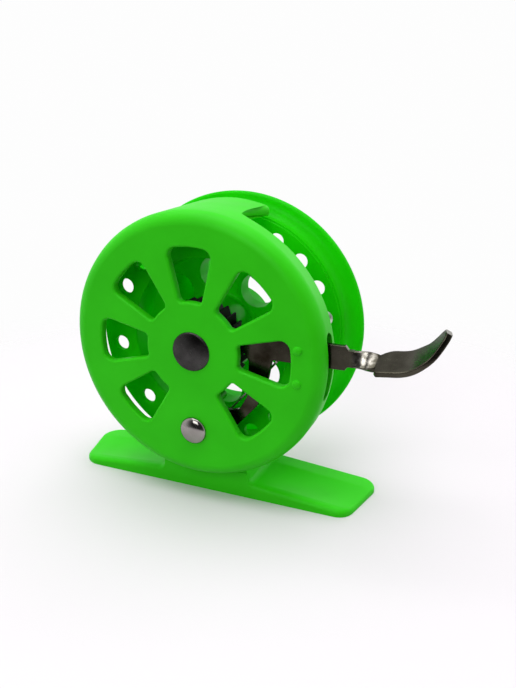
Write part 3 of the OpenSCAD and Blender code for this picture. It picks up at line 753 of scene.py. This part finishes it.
def hood_left_edge():
    """Rear edge where the hood falls on the left, as (angle, depth) points."""
    turn = HOOD_END - HOOD_CORNER
    corner = arc((HOOD_LEFT_Z + HOOD_CORNER, turn), HOOD_CORNER, 90, 180)
    edge = [(angle_at_left(z), d) for z, d in corner]
    side = angle_at_left(HOOD_LEFT_Z)
    edge += [(side, d) for d in steps_between(turn, WALL_DEPTH + HOOD_CURVE_D, 1)[1:]]
    for k in range(HOOD_STEPS - 1, -1, -1):
        left, depth = hood_rise(k / HOOD_STEPS)
        edge.append((angle_at_left(HOOD_LEFT_Z - left), depth))
    return edge


def rear_edge():
    """Rear edge of the wall and the hood as (angle, depth) points, anticlockwise from the bottom."""
    right = hood_right_edge()
    left = hood_left_edge()
    low_right = angle_at_x(HOOD_RIGHT_X + HOOD_CURVE_W)
    edge = [(a, WALL_DEPTH) for a in steps_between(-90, low_right, 2)]
    edge += right
    edge += [(a, HOOD_END) for a in steps_between(right[-1][0], left[0][0], 2)[1:-1]]
    edge += left
    return edge + [(a, WALL_DEPTH) for a in steps_between(left[-1][0], 270, 2)[1:-1]]


def edge_softness(angle, depth):
    """Radius of the rear edge's outer rounding, larger where the hood ends on the right."""
    rise = limited((depth - WALL_DEPTH) / HOOD_CURVE_D)
    side = limited((HOOD_SOFT_END - angle) / HOOD_SOFT_FADE)
    return WALL_EDGE + (HOOD_EDGE - WALL_EDGE) * rise * side


def inward(edge):
    """Unit directions from each point of the rear edge into the wall, as (angle, depth) steps for 1 mm."""
    mm_per_degree = math.radians(1) * HOUSING_R
    flat = [Vector((a * mm_per_degree, d)) for a, d in edge]
    around = Vector((360 * mm_per_degree, 0))
    out = []
    for i, p in enumerate(flat):
        before = flat[i - 1] - (around if i == 0 else Vector((0, 0)))
        after = flat[(i + 1) % len(flat)] + (around if i == len(flat) - 1 else Vector((0, 0)))
        run = ((p - before).normalized() + (after - p).normalized()).normalized()
        out.append((run.y / mm_per_degree, -run.x))
    return out


def even_angles(edge):
    """Angles at the shoulder for the columns that end at the rear edge's points."""
    drift = COLUMN_DRIFT / (math.radians(1) * HOUSING_R)
    runs = [0.0]
    for (a, d), (b, e) in zip(edge, edge[1:]):
        runs.append(runs[-1] + abs(b - a) + drift * abs(e - d))
    whole = runs[-1] + 360 - (edge[-1][0] - edge[0][0])
    return [edge[0][0] + 360 * r / whole for r in runs]


def polar(angle, r, depth):
    """Point at an angle in degrees, a radius and a depth."""
    a = math.radians(angle)
    return place(r * math.cos(a), depth, r * math.sin(a))


def shell_rows():
    """Rings of the shell, from the face over the shoulder and the wall's edge to the inside."""
    edge = rear_edge()
    into = inward(edge)
    start = even_angles(edge)
    columns = range(len(edge))
    soft = [edge_softness(a, d) for a, d in edge]
    firm = [WALL_EDGE] * len(edge)

    def ring(r, depth):
        return [polar(a, r, depth) for a in start]

    def inside_edge(j, offset):
        return edge[j][0] + into[j][0] * offset, edge[j][1] + into[j][1] * offset

    def along(r, offset):
        points = [inside_edge(j, offset) for j in columns]
        return [polar(a, r, d) for a, d in points]

    def outer_edge(turn):
        row = []
        for j in columns:
            a, d = inside_edge(j, soft[j] * (1 - math.sin(turn)))
            row.append(polar(a, HOUSING_R - soft[j] * (1 - math.cos(turn)), d))
        return row

    def between(r, from_depth, share, offsets):
        row = []
        for j in columns:
            a, d = inside_edge(j, offsets[j])
            row.append(polar(start[j] + (a - start[j]) * share, r, from_depth + (d - from_depth) * share))
        return row

    turns = quarter(EDGE_ROWS)
    shares = [k / WALL_ROWS for k in range(1, WALL_ROWS)]
    face_r = HOUSING_R - SHOULDER_R
    inside = PLATE_T + INNER_FILLET
    rows = [ring(face_r + SHOULDER_R * math.sin(a), SHOULDER_R * (1 - math.cos(a))) for a in turns]
    rows += [between(HOUSING_R, SHOULDER_R, share, soft) for share in shares]
    rows += [outer_edge(math.pi / 2 - a) for a in reversed(turns)]
    rows += [along(INNER_R + WALL_EDGE * (1 - math.sin(a)), WALL_EDGE * (1 - math.cos(a))) for a in turns]
    rows += [between(INNER_R, inside, share, firm) for share in reversed(shares)]
    rows += [ring(INNER_R - INNER_FILLET * (1 - math.cos(a)), inside - INNER_FILLET * math.sin(a))
             for a in turns]
    return rows


def sector(r0, r1, half, corner0, corner1):
    """Outline of a window: a ring's sector with rounded corners, centred on +X."""
    a0 = half - math.degrees(math.asin(corner0 / (r0 + corner0)))
    a1 = half - math.degrees(math.asin(corner1 / (r1 - corner1)))
    c0 = on_circle(r0 + corner0, a0)
    c1 = on_circle(r1 - corner1, a1)
    outline = arc(AXIS, r1, -a1, a1)
    outline += arc(c1, corner1, a1, half + 90)[1:]
    outline += arc(c0, corner0, half + 90, a0 + 180)
    outline += arc(AXIS, r0, a0, -a0)[1:]
    outline += arc((c0[0], -c0[1]), corner0, 180 - a0, 270 - half)[1:]
    outline += arc((c1[0], -c1[1]), corner1, -half - 90, -a1)[:-1]
    return outline


def window_cutters():
    """Cutters for the windows of the face."""
    outline = sector(WINDOW_IN_R, WINDOW_OUT_R, WINDOW_HALF, WINDOW_INNER_CORNER, WINDOW_CORNER)
    return [flared("window", turned_outline(outline, a), 0, PLATE_T, WINDOW_EDGE) for a in WINDOW_ANGLES]


def slot_cutter():
    """Cutter for the trigger's slot, with round ends, through the right side of the wall."""
    low = -HOUSING_R * math.sin(math.radians(SLOT_BOTTOM)) + SLOT_W / 2
    high = HOUSING_R * math.sin(math.radians(SLOT_TOP)) - SLOT_W / 2
    mid = SLOT_FRONT + SLOT_W / 2
    outline = arc((mid, high), SLOT_W / 2, 0, 180) + arc((mid, low), SLOT_W / 2, 180, 360)
    rings = [[place(x, d, z) for d, z in outline] for x in (HOUSING_R / 2, HOUSING_R * 1.2)]
    return loft("slot", rings)


def bridge():
    """Block under the spool that joins the wall to the foot's pedestal."""
    half = PEDESTAL_W / 2
    lean = math.degrees(math.asin(half / INNER_R))
    outline = [(-half, -HOUSING_R), (half, -HOUSING_R)]
    outline += arc(AXIS, INNER_R, lean - 90, -lean - 90, 24)
    return slab("bridge", outline, FACE_TO_FOOT - FOOT_W / 2, FACE_TO_FOOT + FOOT_W / 2, BRIDGE_EDGE)


def pip(angle):
    """Small moulded pip on the face, with a low skirt."""
    skirt_r = PIP_R + PIP_SKIRT_W
    skirt = [(0, PIP_ROOT), (skirt_r, PIP_ROOT), (skirt_r, PIP_SKIRT_ROOT), (PIP_R, -PIP_SKIRT_H)]
    dome = [(PIP_R * math.cos(a), -PIP_H * math.sin(a) ** PIP_FULLNESS) for a in quarter(6)[1:]]
    return revolve("pip", skirt + dome, on_circle(PIP_RING_R, angle), steps=24)


def fixed_leg_frame():
    """Start and direction of the spring's fixed leg, and the angle where its long leg leaves the coil."""
    reach = HOOK - Vector(PIVOT)
    leave = math.atan2(reach.y, reach.x) - math.acos(COIL_R / reach.length)
    start = Vector(PIVOT) - COIL_R * heading(leave)
    return start, heading(leave + math.pi / 2), leave


def stud(bore_r, r, rear):
    """Half outline of a round stud on the back of the face, with a chamfered end."""
    root = PLATE_T - STUD_ROOT
    return [(bore_r, root), (r, root), (r, rear - STUD_CHAMFER), (r - STUD_CHAMFER, rear), (bore_r, rear)]


def spring_post():
    """Moulded post that holds the spring's fixed leg."""
    start, direction, _ = fixed_leg_frame()
    side = Vector((direction.y, -direction.x))
    at = start + (FIXED_LEG - POST_R) * direction + (POST_R + WIRE_D / 2 + END_GAP) * side
    return revolve("post", stud(0, POST_R, COIL_REAR + WIRE_D), tuple(at), steps=32)


def boss():
    """Moulded boss behind the face, around the rivet."""
    return revolve("boss", stud(RIVET_R + SEAT_GAP, BOSS_R, LEVER_FRONT - END_GAP), PIVOT, steps=64)


def make_housing():
    """Moulded housing with its windows, slot, bridge, boss, post and pips."""
    shell = loft("housing_form", shell_rows())
    holes = [flared("spindle_hole", circle(SPINDLE_R + SEAT_GAP), 0, PLATE_T, BORE_EDGE),
             flared("rivet_hole", circle(RIVET_R + SEAT_GAP, PIVOT), 0, PLATE_T, BORE_EDGE)]
    carve(shell, window_cutters() + [slot_cutter()] + holes)
    parts = [shell, bridge(), boss(), spring_post()] + [pip(a) for a in PIP_ANGLES]
    piece(joined("housing_form", parts), "frame", "green_plastic", GREEN, "housing")


# Foot

def edge_drop(distance, radius):
    """How far a rounded edge lies under the flat top, at a distance from the outline."""
    left = max(0.0, radius - distance)
    return radius - math.sqrt(max(0.0, radius ** 2 - left ** 2))


def foot_top(x):
    """Height of the foot's top along its middle, before the trough and the rounded edge."""
    run = abs(x)
    half = PEDESTAL_W / 2
    root = half + FOOT_FILLET
    if run <= half:
        return SEAT_H
    if run < root:
        centre = WING_ROOT_T + FOOT_FILLET
        return min(SEAT_H, centre - math.sqrt(FOOT_FILLET ** 2 - (root - run) ** 2))
    share = (run - root) / (FOOT_LEN / 2 - root)
    return WING_ROOT_T + (WING_TIP_T - WING_ROOT_T) * share


def foot_plan():
    """Outline of the foot seen from above, with slanted ends and rounded corners."""
    rear = FOOT_LEN / 2
    front = rear - FOOT_SLANT
    half = FOOT_W / 2
    return rounded([(-front, -half, FOOT_LEFT_CORNER), (front, -half, FOOT_CORNER),
                    (rear, half, FOOT_CORNER), (-rear, half, FOOT_BACK_CORNER)], 12)


def sides_of(outline):
    """Pairs of neighbouring points of an outline."""
    return list(zip(outline, outline[1:] + outline[:1]))


def span_at(outline, x):
    """Lowest and highest y of an outline at x."""
    hits = []
    for (x0, y0), (x1, y1) in sides_of(outline):
        if min(x0, x1) <= x <= max(x0, x1) and x0 != x1:
            hits.append(y0 + (y1 - y0) * (x - x0) / (x1 - x0))
    return min(hits), max(hits)


def edge_distance(outline, x, y):
    """Distance from a point to the nearest side of an outline."""
    here = Vector((x, y))
    best = FOOT_W
    for a, b in sides_of(outline):
        start, run = Vector(a), Vector(b) - Vector(a)
        share = limited((here - start).dot(run) / max(run.length_squared, 1e-12))
        best = min(best, (here - start - run * share).length)
    return best


def foot_height(outline, x, y):
    """Height of the foot's top surface."""
    half = PEDESTAL_W / 2
    fade = limited((abs(x) - half - 0.5 * FOOT_FILLET) / (2 * FOOT_FILLET))
    trough = max(0.0, TROUGH_DEPTH - (y + TROUGH_SHIFT) ** 2 / (2 * TROUGH_R))
    run_out = limited((FOOT_LEN / 2 - abs(x)) / TROUGH_RUN_OUT)
    front = limited(0.5 - y / FOOT_W)
    edge = FOOT_EDGE + (FOOT_FRONT_EDGE - FOOT_EDGE) * front if abs(x) > half else SEAT_EDGE
    return foot_top(x) - fade * run_out * trough - edge_drop(edge_distance(outline, x, y), edge)


def wing_stations(end):
    """Places along one wing, closer together at its end and beside the pedestal."""
    half = PEDESTAL_W / 2
    taper = FOOT_SLANT + FOOT_BACK_CORNER
    tip = [end - taper * (1 - math.sin(a)) for a in quarter(18)[1:]]
    fillet = [half + FOOT_FILLET * k / 8 for k in range(9)]
    wing = steps_between(half + FOOT_FILLET, end - taper, WING_STEP)[1:]
    return sorted(set(round(v, 4) for v in [half - SEAT_INSET] + fillet + wing + tip))


def foot_stations(outline):
    """Places along the foot from its left end to its right."""
    xs = [x for x, _ in outline]
    left = wing_stations(-min(xs) - TIP_INSET)
    right = wing_stations(max(xs) - TIP_INSET)
    return [-v for v in reversed(left)] + [0] + right


def foot_ring(outline, x):
    """Section of the foot across its length."""
    low, high = span_at(outline, x)
    middle, width = (low + high) / 2, (high - low) / 2
    steps = range(-FOOT_HALF_STEPS, FOOT_HALF_STEPS + 1)
    across = [middle + math.sin(math.radians(90 * k / FOOT_HALF_STEPS)) * width for k in steps]
    ring = [Vector((x, low, 0)), Vector((x, high, 0))]
    ring += [Vector((x, y, max(FOOT_LEAST_T, foot_height(outline, x, y)))) for y in reversed(across)]
    return [p * MM for p in ring]


def make_foot():
    """Reel foot with a pedestal and two thin wings."""
    outline = foot_plan()
    obj = loft("foot_form", [foot_ring(outline, x) for x in foot_stations(outline)])
    piece(obj, "frame", "green_plastic", GREEN, "foot")


# Spool

def spool_profile():
    """Half outline of the spool, in runs from the hub's front over the rim to the bore."""
    groove = FLANGE_FRONT + FLANGE_T
    step_r = CROWN_R - CROWN_STEP_W
    step = REAR_FLANGE + CROWN_STEP_H
    relief = BUSH_SEAT_R - BUSH_LEDGE
    front_seat = HUB_FRONT + BUSH_LEN
    rear_seat = REAR_FACE - BUSH_LEN
    hub = [(BUSH_SEAT_R, HUB_FRONT, 0), (GEAR_BORE_R, HUB_FRONT, HUB_EDGE), (GEAR_BORE_R, GEAR_REAR, 0),
           (HUB_R, GEAR_REAR, RECESS_FILLET), (HUB_R, WEB_FRONT, RECESS_FILLET)]
    flange = [(ARBOR_IN, WEB_FRONT, RECESS_FILLET), (ARBOR_IN, FLANGE_FRONT, ARBOR_EDGE),
              (FLANGE_R, FLANGE_FRONT, FLANGE_EDGE), (FLANGE_R, groove, FLANGE_EDGE),
              (ARBOR_R, groove, GROOVE_FILLET), (ARBOR_R, REAR_FLANGE, GROOVE_FILLET)]
    rim = [(step_r, REAR_FLANGE, STEP_FILLET), (step_r, step, STEP_EDGE), (CROWN_R, step, STEP_EDGE),
           (CROWN_R, LIP_FRONT, RIM_COVE), (RIM_R, LIP_FRONT, LIP_EDGE), (RIM_R, LIP_REAR, LIP_EDGE),
           (RIM_IN_R, LIP_REAR, RIM_COVE), (RIM_IN_R, REAR_FACE, HUB_EDGE)]
    rear = [(ARBOR_IN, REAR_FACE, ARBOR_EDGE), (ARBOR_IN, WEB_REAR, GROOVE_FILLET),
            (HUB_R, WEB_REAR, GROOVE_FILLET), (HUB_R, REAR_FACE, ARBOR_EDGE)]
    bore = [(BUSH_SEAT_R, REAR_FACE, 0), (BUSH_SEAT_R, rear_seat, 0), (relief, rear_seat, 0),
            (relief, front_seat, 0), (BUSH_SEAT_R, front_seat, 0)]
    return rounded(hub + flange + rim + rear + bore, SPOOL_FINE)


def ring_of(outline, count, ring_r, phase):
    """Copies of an outline round the spool's axis."""
    shifted = [(x + ring_r, y) for x, y in outline]
    return [turned_outline(shifted, phase + 360 * i / count) for i in range(count)]


def cup_outline(r, front, rear, soft):
    """Closed half outline of a round plug."""
    return rounded([(0, front, 0), (r, front, 0), (r, rear, soft), (0, rear, 0)])


def spool_cutters(cup_centre):
    """Cutters for the holes of both flanges and of the web, and for the inside of the cup."""
    small = ring_of(circle(FLANGE_HOLE_R, steps=32), FLANGE_HOLES, FLANGE_RING_R, HOLE_PHASE)
    pin = ring_of(circle(PIN_HOLE_R, steps=32), FLANGE_HOLES, FLANGE_RING_R, HOLE_PHASE)
    large = ring_of(circle(WEB_HOLE_R), WEB_HOLES, WEB_RING_R, WEB_PHASE)
    through = [o for i, o in enumerate(large) if i != CUP_PLACE]
    rows = ((small, FLANGE_FRONT, FLANGE_FRONT + FLANGE_T, FLANGE_HOLE_EDGE, FLANGE_CUT_REACH),
            (pin[:1] + small[1:], REAR_FLANGE, REAR_FACE, FLANGE_HOLE_EDGE, FLANGE_CUT_REACH),
            (through, WEB_FRONT, WEB_REAR, WEB_HOLE_EDGE, WEB_CUT_REACH))
    cutters = [flared("hole", outline, *sizes) for outlines, *sizes in rows for outline in outlines]
    inside = cup_outline(WEB_HOLE_R, WEB_FRONT - CUP_OVERLAP, CUP_END - CUP_WALL, CUP_INNER_ROUND)
    return cutters + [revolve("hole", inside, cup_centre, steps=48)]


def make_spool():
    """Drilled spool with its flared rim and the one closed cup in its web."""
    centre = on_circle(WEB_RING_R, WEB_PHASE + 360 * CUP_PLACE / WEB_HOLES)
    cup = revolve("cup", cup_outline(CUP_R, WEB_REAR - CUP_OVERLAP, CUP_END, CUP_ROUND), centre, steps=64)
    obj = revolve("spool_form", spool_profile(), steps=192)
    carve(add(obj, cup), spool_cutters(centre))
    piece(obj, "spool", "green_plastic", THIN_LIGHTENED_GREEN, "spool")


def make_gear():
    """Ratchet gear with saw teeth: a long ramp, a short tip and a steep back."""
    pitch = 360 / GEAR_TEETH
    tooth = ((GEAR_TIP_R - TOOTH_H, 0.0), (GEAR_TIP_R, TOOTH_RAMP), (GEAR_TIP_R, TOOTH_TIP))
    outline = [on_circle(r, (i + share) * pitch) for i in range(GEAR_TEETH) for r, share in tooth]
    obj = slab("gear_form", outline, HUB_FRONT, GEAR_REAR, GEAR_EDGE)
    carve(obj, [flared("bore", circle(GEAR_BORE_R + SEAT_GAP), HUB_FRONT, GEAR_REAR, GEAR_BORE_EDGE)])
    piece(obj, "spool", "black_plastic", BLACK, "ratchet_gear")


# Spindle and rivet

def make_spindle():
    """Turned axle with a conical head, and the screw's hole in its rear end."""
    rim = -SPINDLE_RIM_H
    hole_r = SCREW_R + SEAT_GAP
    hole_end = SPINDLE_END - SCREW_LEN
    profile = rounded([
        (0, rim - SPINDLE_CONE_H, 0), (SPINDLE_HEAD_R - SPINDLE_BEVEL_W, rim, SPINDLE_CONE_EDGE),
        (SPINDLE_HEAD_R, rim + SPINDLE_BEVEL_H, SPINDLE_EDGE), (SPINDLE_HEAD_R, 0, 0),
        (SPINDLE_R, 0, 0), (SPINDLE_R, SPINDLE_END, SPINDLE_EDGE),
        (hole_r, SPINDLE_END, 0), (hole_r, hole_end, 0), (0, hole_end - DRILL_POINT, 0)])
    obj = revolve("spindle_form", profile, steps=96)
    piece(obj, "frame", "spindle_steel", SPINDLE_STEEL, "spindle")


def make_rivet():
    """Rivet with a polished dome that is undercut at its rim, and a chamfered tail."""
    rise = RIVET_DOME_H - RIVET_RIM_H
    dome = [(RIVET_HEAD_R * math.sin(a), -RIVET_RIM_H - rise * math.cos(a)) for a in quarter(16)]
    shank = [(RIVET_HEAD_R - RIVET_UNDERCUT, 0), (RIVET_R, 0), (RIVET_R, TAIL_FRONT)]
    tail = [(RIVET_TAIL_R, TAIL_FRONT), (RIVET_TAIL_R, TAIL_REAR - TAIL_CHAMFER_H),
            (RIVET_TAIL_R - TAIL_CHAMFER_W, TAIL_REAR), (0, TAIL_REAR)]
    obj = revolve("rivet_form", dome + shank + tail, PIVOT, steps=72)
    piece(obj, "frame", "bright_steel", BRIGHT_STEEL, "pivot_rivet")


# Lever

def lever_outline():
    """Front view outline of the lever's flat part, anticlockwise from the neck."""
    neck_low = STRIP_MID - NECK_W / 2
    neck_high = STRIP_MID + NECK_W / 2
    neck_x = SHOULDER_X + NECK_REACH
    notch_x = SHOULDER_X + SHOULDER_RUN
    nose = GEAR_TIP_R + PAWL_GAP
    upper = rounded([
        (neck_x, neck_low, 0), (neck_x, neck_high, 0), (notch_x, neck_high, NECK_ROUND),
        (SHOULDER_X, STRIP_HIGH, SHOULDER_ROUND), (ARM_X + 0.8, STRIP_HIGH, ELBOW_ROUND),
        (nose, PAWL_Z + PAWL_W / 2, PAWL_ROUND), (nose, PAWL_Z - PAWL_W / 2, PAWL_ROUND),
        (ARM_X + 0.2, STRIP_LOW - 0.9, ARM_IN_ROUND), (ARM_X - 0.2, 2 - ARM_DROP, ARM_IN_ROUND),
        (ARM_X - 2.2, -1.6 - ARM_DROP, ARM_IN_ROUND), (EYE_NECK_X, PIVOT[1] + EYE_R - 0.6, 0)])
    eye = arc(PIVOT, EYE_R, *EYE_ARC, 40)
    lower = rounded([
        (EYE_NECK_X, PIVOT[1] - 2.6, 0), (ARM_OUT - 7.6, PIVOT[1] + 1, ELBOW_ROUND),
        (ARM_OUT - 2.5, -ARM_DROP, ARM_OUT_ROUND), (ARM_OUT, 6.8 - ARM_DROP, ARM_OUT_ROUND),
        (ARM_OUT + 0.8, STRIP_LOW, STRIP_ROUND), (SHOULDER_X, STRIP_LOW, SHOULDER_ROUND),
        (notch_x, neck_low, NECK_ROUND), (neck_x, neck_low, 0)])
    return upper[:-1] + eye + lower[1:-1]


def thumb_stations():
    """Stations of the twist and thumb plate: run past the shoulder, rise, roll, width and shift back."""
    tilt = THUMB_TILT
    return [
        (1, 0, 90, NECK_W - 0.1, 0), (2.8, 0, 80, NECK_W, 0), (4, -0.05, 62, NECK_W + 0.2, 0),
        (5.2, -0.15, 42, NECK_W + 0.4, 0), (6.1, -0.25, 27, NECK_W + 0.7, 0),
        (6.5, -0.28, tilt + 3, NECK_W + 0.9, 0), (6.7, -0.28, tilt, THUMB_W * 0.78, -0.75),
        (7.8, -0.15, tilt, THUMB_W * 0.91, -0.35), (9.2, 0, tilt, THUMB_W, 0),
        (11.6, 0.32, tilt, THUMB_W, 0), (13.6, 0.99, tilt, THUMB_W * 0.95, 0),
        (15.6, 2.32, tilt, THUMB_W * 0.85, 0), (17.1, 3.69, tilt, THUMB_W * 0.7, 0),
        (18.4, 5.5, tilt, THUMB_TIP_W + 2.2, 0), (19.3, 7, tilt, THUMB_TIP_W + 1.2, 0),
        (19.8, 7.9, tilt, THUMB_TIP_W, 0)]


def smooth_value(p, q, r, s, t):
    """Value at share t from q to r, on a smooth curve that p and s lead."""
    square = 2 * p - 5 * q + 4 * r - s
    cube = 3 * q - p - 3 * r + s
    return 0.5 * (2 * q + (r - p) * t + square * t * t + cube * t ** 3)


def between_stations(rows, parts):
    """Rows with smooth steps in between."""
    out = []
    for i in range(len(rows) - 1):
        a, b = rows[max(i - 1, 0)], rows[i]
        c, d = rows[i + 1], rows[min(i + 2, len(rows) - 1)]
        for k in range(parts):
            out.append(tuple(smooth_value(*values, k / parts) for values in zip(a, b, c, d)))
    return out + [rows[-1]]


def thumb_ring(at, run, roll, width, thick, shift):
    """Section of the thumb plate with rounded edges, rolled about its own run."""
    a = math.radians(roll)
    up = Vector((-run.y, 0, run.x))
    wide = math.cos(a) * Vector((0, 1, 0)) + math.sin(a) * up
    high = math.cos(a) * up - math.sin(a) * Vector((0, 1, 0))
    u, v = width / 2, thick / 2
    corners = [(x, y, THUMB_EDGE) for x, y in ((-u, -v), (u, -v), (u, v), (-u, v))]
    middle = place(at.x, LEVER_MID, at.y) + wide * shift * MM
    return [middle + (wide * x + high * y) * MM for x, y in rounded(corners, 4)]


def thumb_plate():
    """Twisted neck and thumb plate, from the shoulder to the tip."""
    rows = between_stations(thumb_stations(), THUMB_STEPS)
    spots = [Vector((SHOULDER_X + r[0], STRIP_MID + r[1])) for r in rows]
    rings = []
    for i, (_, _, roll, width, shift) in enumerate(rows):
        run = (spots[min(i + 1, len(rows) - 1)] - spots[max(i - 1, 0)]).normalized()
        thick = THUMB_T if i else LEVER_REAR - LEVER_FRONT - THUMB_ROOT_THINNER
        rings.append(thumb_ring(spots[i], run, roll, width, thick, shift))
    return loft("thumb", rings)


def make_lever():
    """Stamped lever with its pawl, eye and thumb plate."""
    plate = slab("lever_form", lever_outline(), LEVER_FRONT, LEVER_REAR, LEVER_EDGE)
    carve(plate, [flared("eye", circle(EYE_BORE_R, PIVOT), LEVER_FRONT, LEVER_REAR, BORE_EDGE)])
    obj = joined("lever_form", [plate, thumb_plate()])
    piece(obj, "trigger", "trigger_steel", TRIGGER_STEEL, "trigger_lever")


# Spring

def spring_route():
    """Middle line of the spring's wire, from the fixed leg round the coil to the hook under the lever."""
    start, direction, leave = fixed_leg_frame()
    pivot = Vector(PIVOT)
    off = pivot + COIL_R * heading(leave)
    lead = (HOOK - off).normalized()
    tip = LEVER_FRONT + HOOK_INSET
    route = [(*(start + s * direction), COIL_REAR) for s in (FIXED_LEG, FIXED_LEG / 2)]
    steps = int(COIL_STEPS * CURLS)
    for i in range(steps + 1):
        a = leave - 2 * math.pi * CURLS * (1 - i / steps)
        at = pivot + COIL_R * heading(a)
        route.append((at.x, at.y, COIL_REAR + (COIL_FRONT - COIL_REAR) * i / steps))
    middle = (off + HOOK) / 2
    back = HOOK - HOOK_BEND * lead
    route += [(middle.x, middle.y, COIL_FRONT), (back.x, back.y, COIL_FRONT)]
    return route + [(HOOK.x, HOOK.y, COIL_FRONT - HOOK_BEND), (HOOK.x, HOOK.y, tip)]


def wire_rings(points, r):
    """Rings of a round wire along a line of points."""
    turns = [2 * math.pi * k / WIRE_SIDES for k in range(WIRE_SIDES)]
    rings = []
    side = Vector((0, 0, 1))
    for i, p in enumerate(points):
        run = (points[min(i + 1, len(points) - 1)] - points[max(i - 1, 0)]).normalized()
        side = (side - side.dot(run) * run).normalized()
        over = run.cross(side)
        rings.append([p + r * (math.cos(a) * side + math.sin(a) * over) for a in turns])
    return rings


def make_spring():
    """Torsion spring with a fixed leg at the frame's post and a long leg that hooks under the trigger."""
    points = [place(x, d, z) for x, z, d in spring_route()]
    obj = loft("spring_form", wire_rings(points, WIRE_D / 2 * MM))
    dress(obj, "spring_steel", SPRING_STEEL, "return_spring")
    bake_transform(obj)


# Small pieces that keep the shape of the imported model

def paint_nodes():
    """Gives each of these pieces its material."""
    paints = {
        "spindle_collar": SPINDLE_STEEL, "rear_washer": SPINDLE_STEEL, "rivet_washer": SPINDLE_STEEL,
        "retaining_screw": BRIGHT_STEEL, "knob_pin": PLATED_STEEL, "knob_cap": BRIGHT_STEEL,
        "front_bush": BRASS, "rear_bush": BRASS, "pivot_bush": BRASS,
        "front_washer": NYLON, "knob_washer": NYLON, "winding_knob": BLACK}
    for name, material in paints.items():
        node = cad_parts[name]
        node.data.materials.clear()
        node.data.materials.append(material)


# Studio

def make_camera():
    """Camera at the place and with the lens of the photograph."""
    data = bpy.data.cameras.new("camera")
    data.sensor_fit = "VERTICAL"
    data.sensor_height = SENSOR_H
    data.lens = SENSOR_H * FOCAL_PX / PHOTO_H
    data.clip_start = CLIP_START
    camera = linked("camera", data)
    back = CAMERA_BACK.normalized()
    right = Vector((0, 0, 1)).cross(back).normalized()
    turn = Matrix((right, back.cross(right), back)).transposed().to_4x4()
    camera.matrix_world = Matrix.Translation(CAMERA_AT * MM) @ turn
    bpy.context.scene.camera = camera


def seen_rays(tree, first, second):
    """1 where a ray is of either kind, and 0 elsewhere."""
    path = tree.nodes.new("ShaderNodeLightPath")
    return worked_out(tree, "MAXIMUM", path.outputs[first], path.outputs[second])


def make_world():
    """Studio room: dim on the camera's side, a pale wall behind, plain white to the camera."""
    world = bpy.data.worlds.new("room")
    world.use_nodes = True
    tree = world.node_tree
    background = tree.nodes["Background"]
    background.inputs["Color"].default_value = (1, 1, 1, 1)
    side = measured(tree, "Generated", "DOT_PRODUCT", ROOM_DIM_SIDE)
    room = spanned(tree, side, ROOM_BACK, ROOM_FRONT, *ROOM_TURN, smooth=True)
    strength = tree.nodes.new("ShaderNodeMix")
    strength.inputs["B"].default_value = ROOM_SEEN
    tree.links.new(seen_rays(tree, "Is Camera Ray", "Is Transmission Ray"), strength.inputs["Factor"])
    tree.links.new(room, strength.inputs["A"])
    tree.links.new(strength.outputs["Result"], background.inputs["Strength"])
    bpy.context.scene.world = world


def area_light(name, at, size, power):
    """Square lamp that faces the reel's middle."""
    data = bpy.data.lights.new(name, "AREA")
    data.shape = "SQUARE"
    data.size = size
    data.energy = power
    lamp = linked(name, data)
    lamp.location = at
    aim = LAMP_AIM - lamp.location
    lamp.rotation_euler = aim.to_track_quat("-Z", "Y").to_euler()


def make_floor():
    """Pale paper that throws back less light than it shows, and fades into the white room at its edge."""
    bpy.ops.mesh.primitive_circle_add(vertices=96, radius=FLOOR_END, fill_type="NGON")
    floor = bpy.context.object
    floor.name = "floor"
    material, tree, bsdf = shader("white_paper", FLOOR_PALE, 0.8, specular=0.1)
    paper = color_mix(tree, seen_rays(tree, "Is Camera Ray", "Is Glossy Ray"), FLOOR_PALE)
    paper.inputs[MIX_FIRST].default_value = (*FLOOR_THROWN, 1)
    tree.links.new(paper.outputs[MIX_RESULT], bsdf.inputs["Base Color"])
    far = measured(tree, "Object", "LENGTH")
    fade = spanned(tree, far, 1.0, 0.0, FLOOR_START, FLOOR_END, smooth=True)
    tree.links.new(fade, bsdf.inputs["Alpha"])
    floor.data.materials.append(material)


def make_studio():
    """Camera, room, floor and lamps."""
    bpy.context.scene.view_settings.view_transform = "Standard"
    make_camera()
    make_world()
    make_floor()
    for lamp in LAMPS:
        area_light(*lamp)


make_housing()
make_foot()
make_spool()
make_gear()
make_spindle()
make_rivet()
make_lever()
make_spring()
paint_nodes()
make_studio()
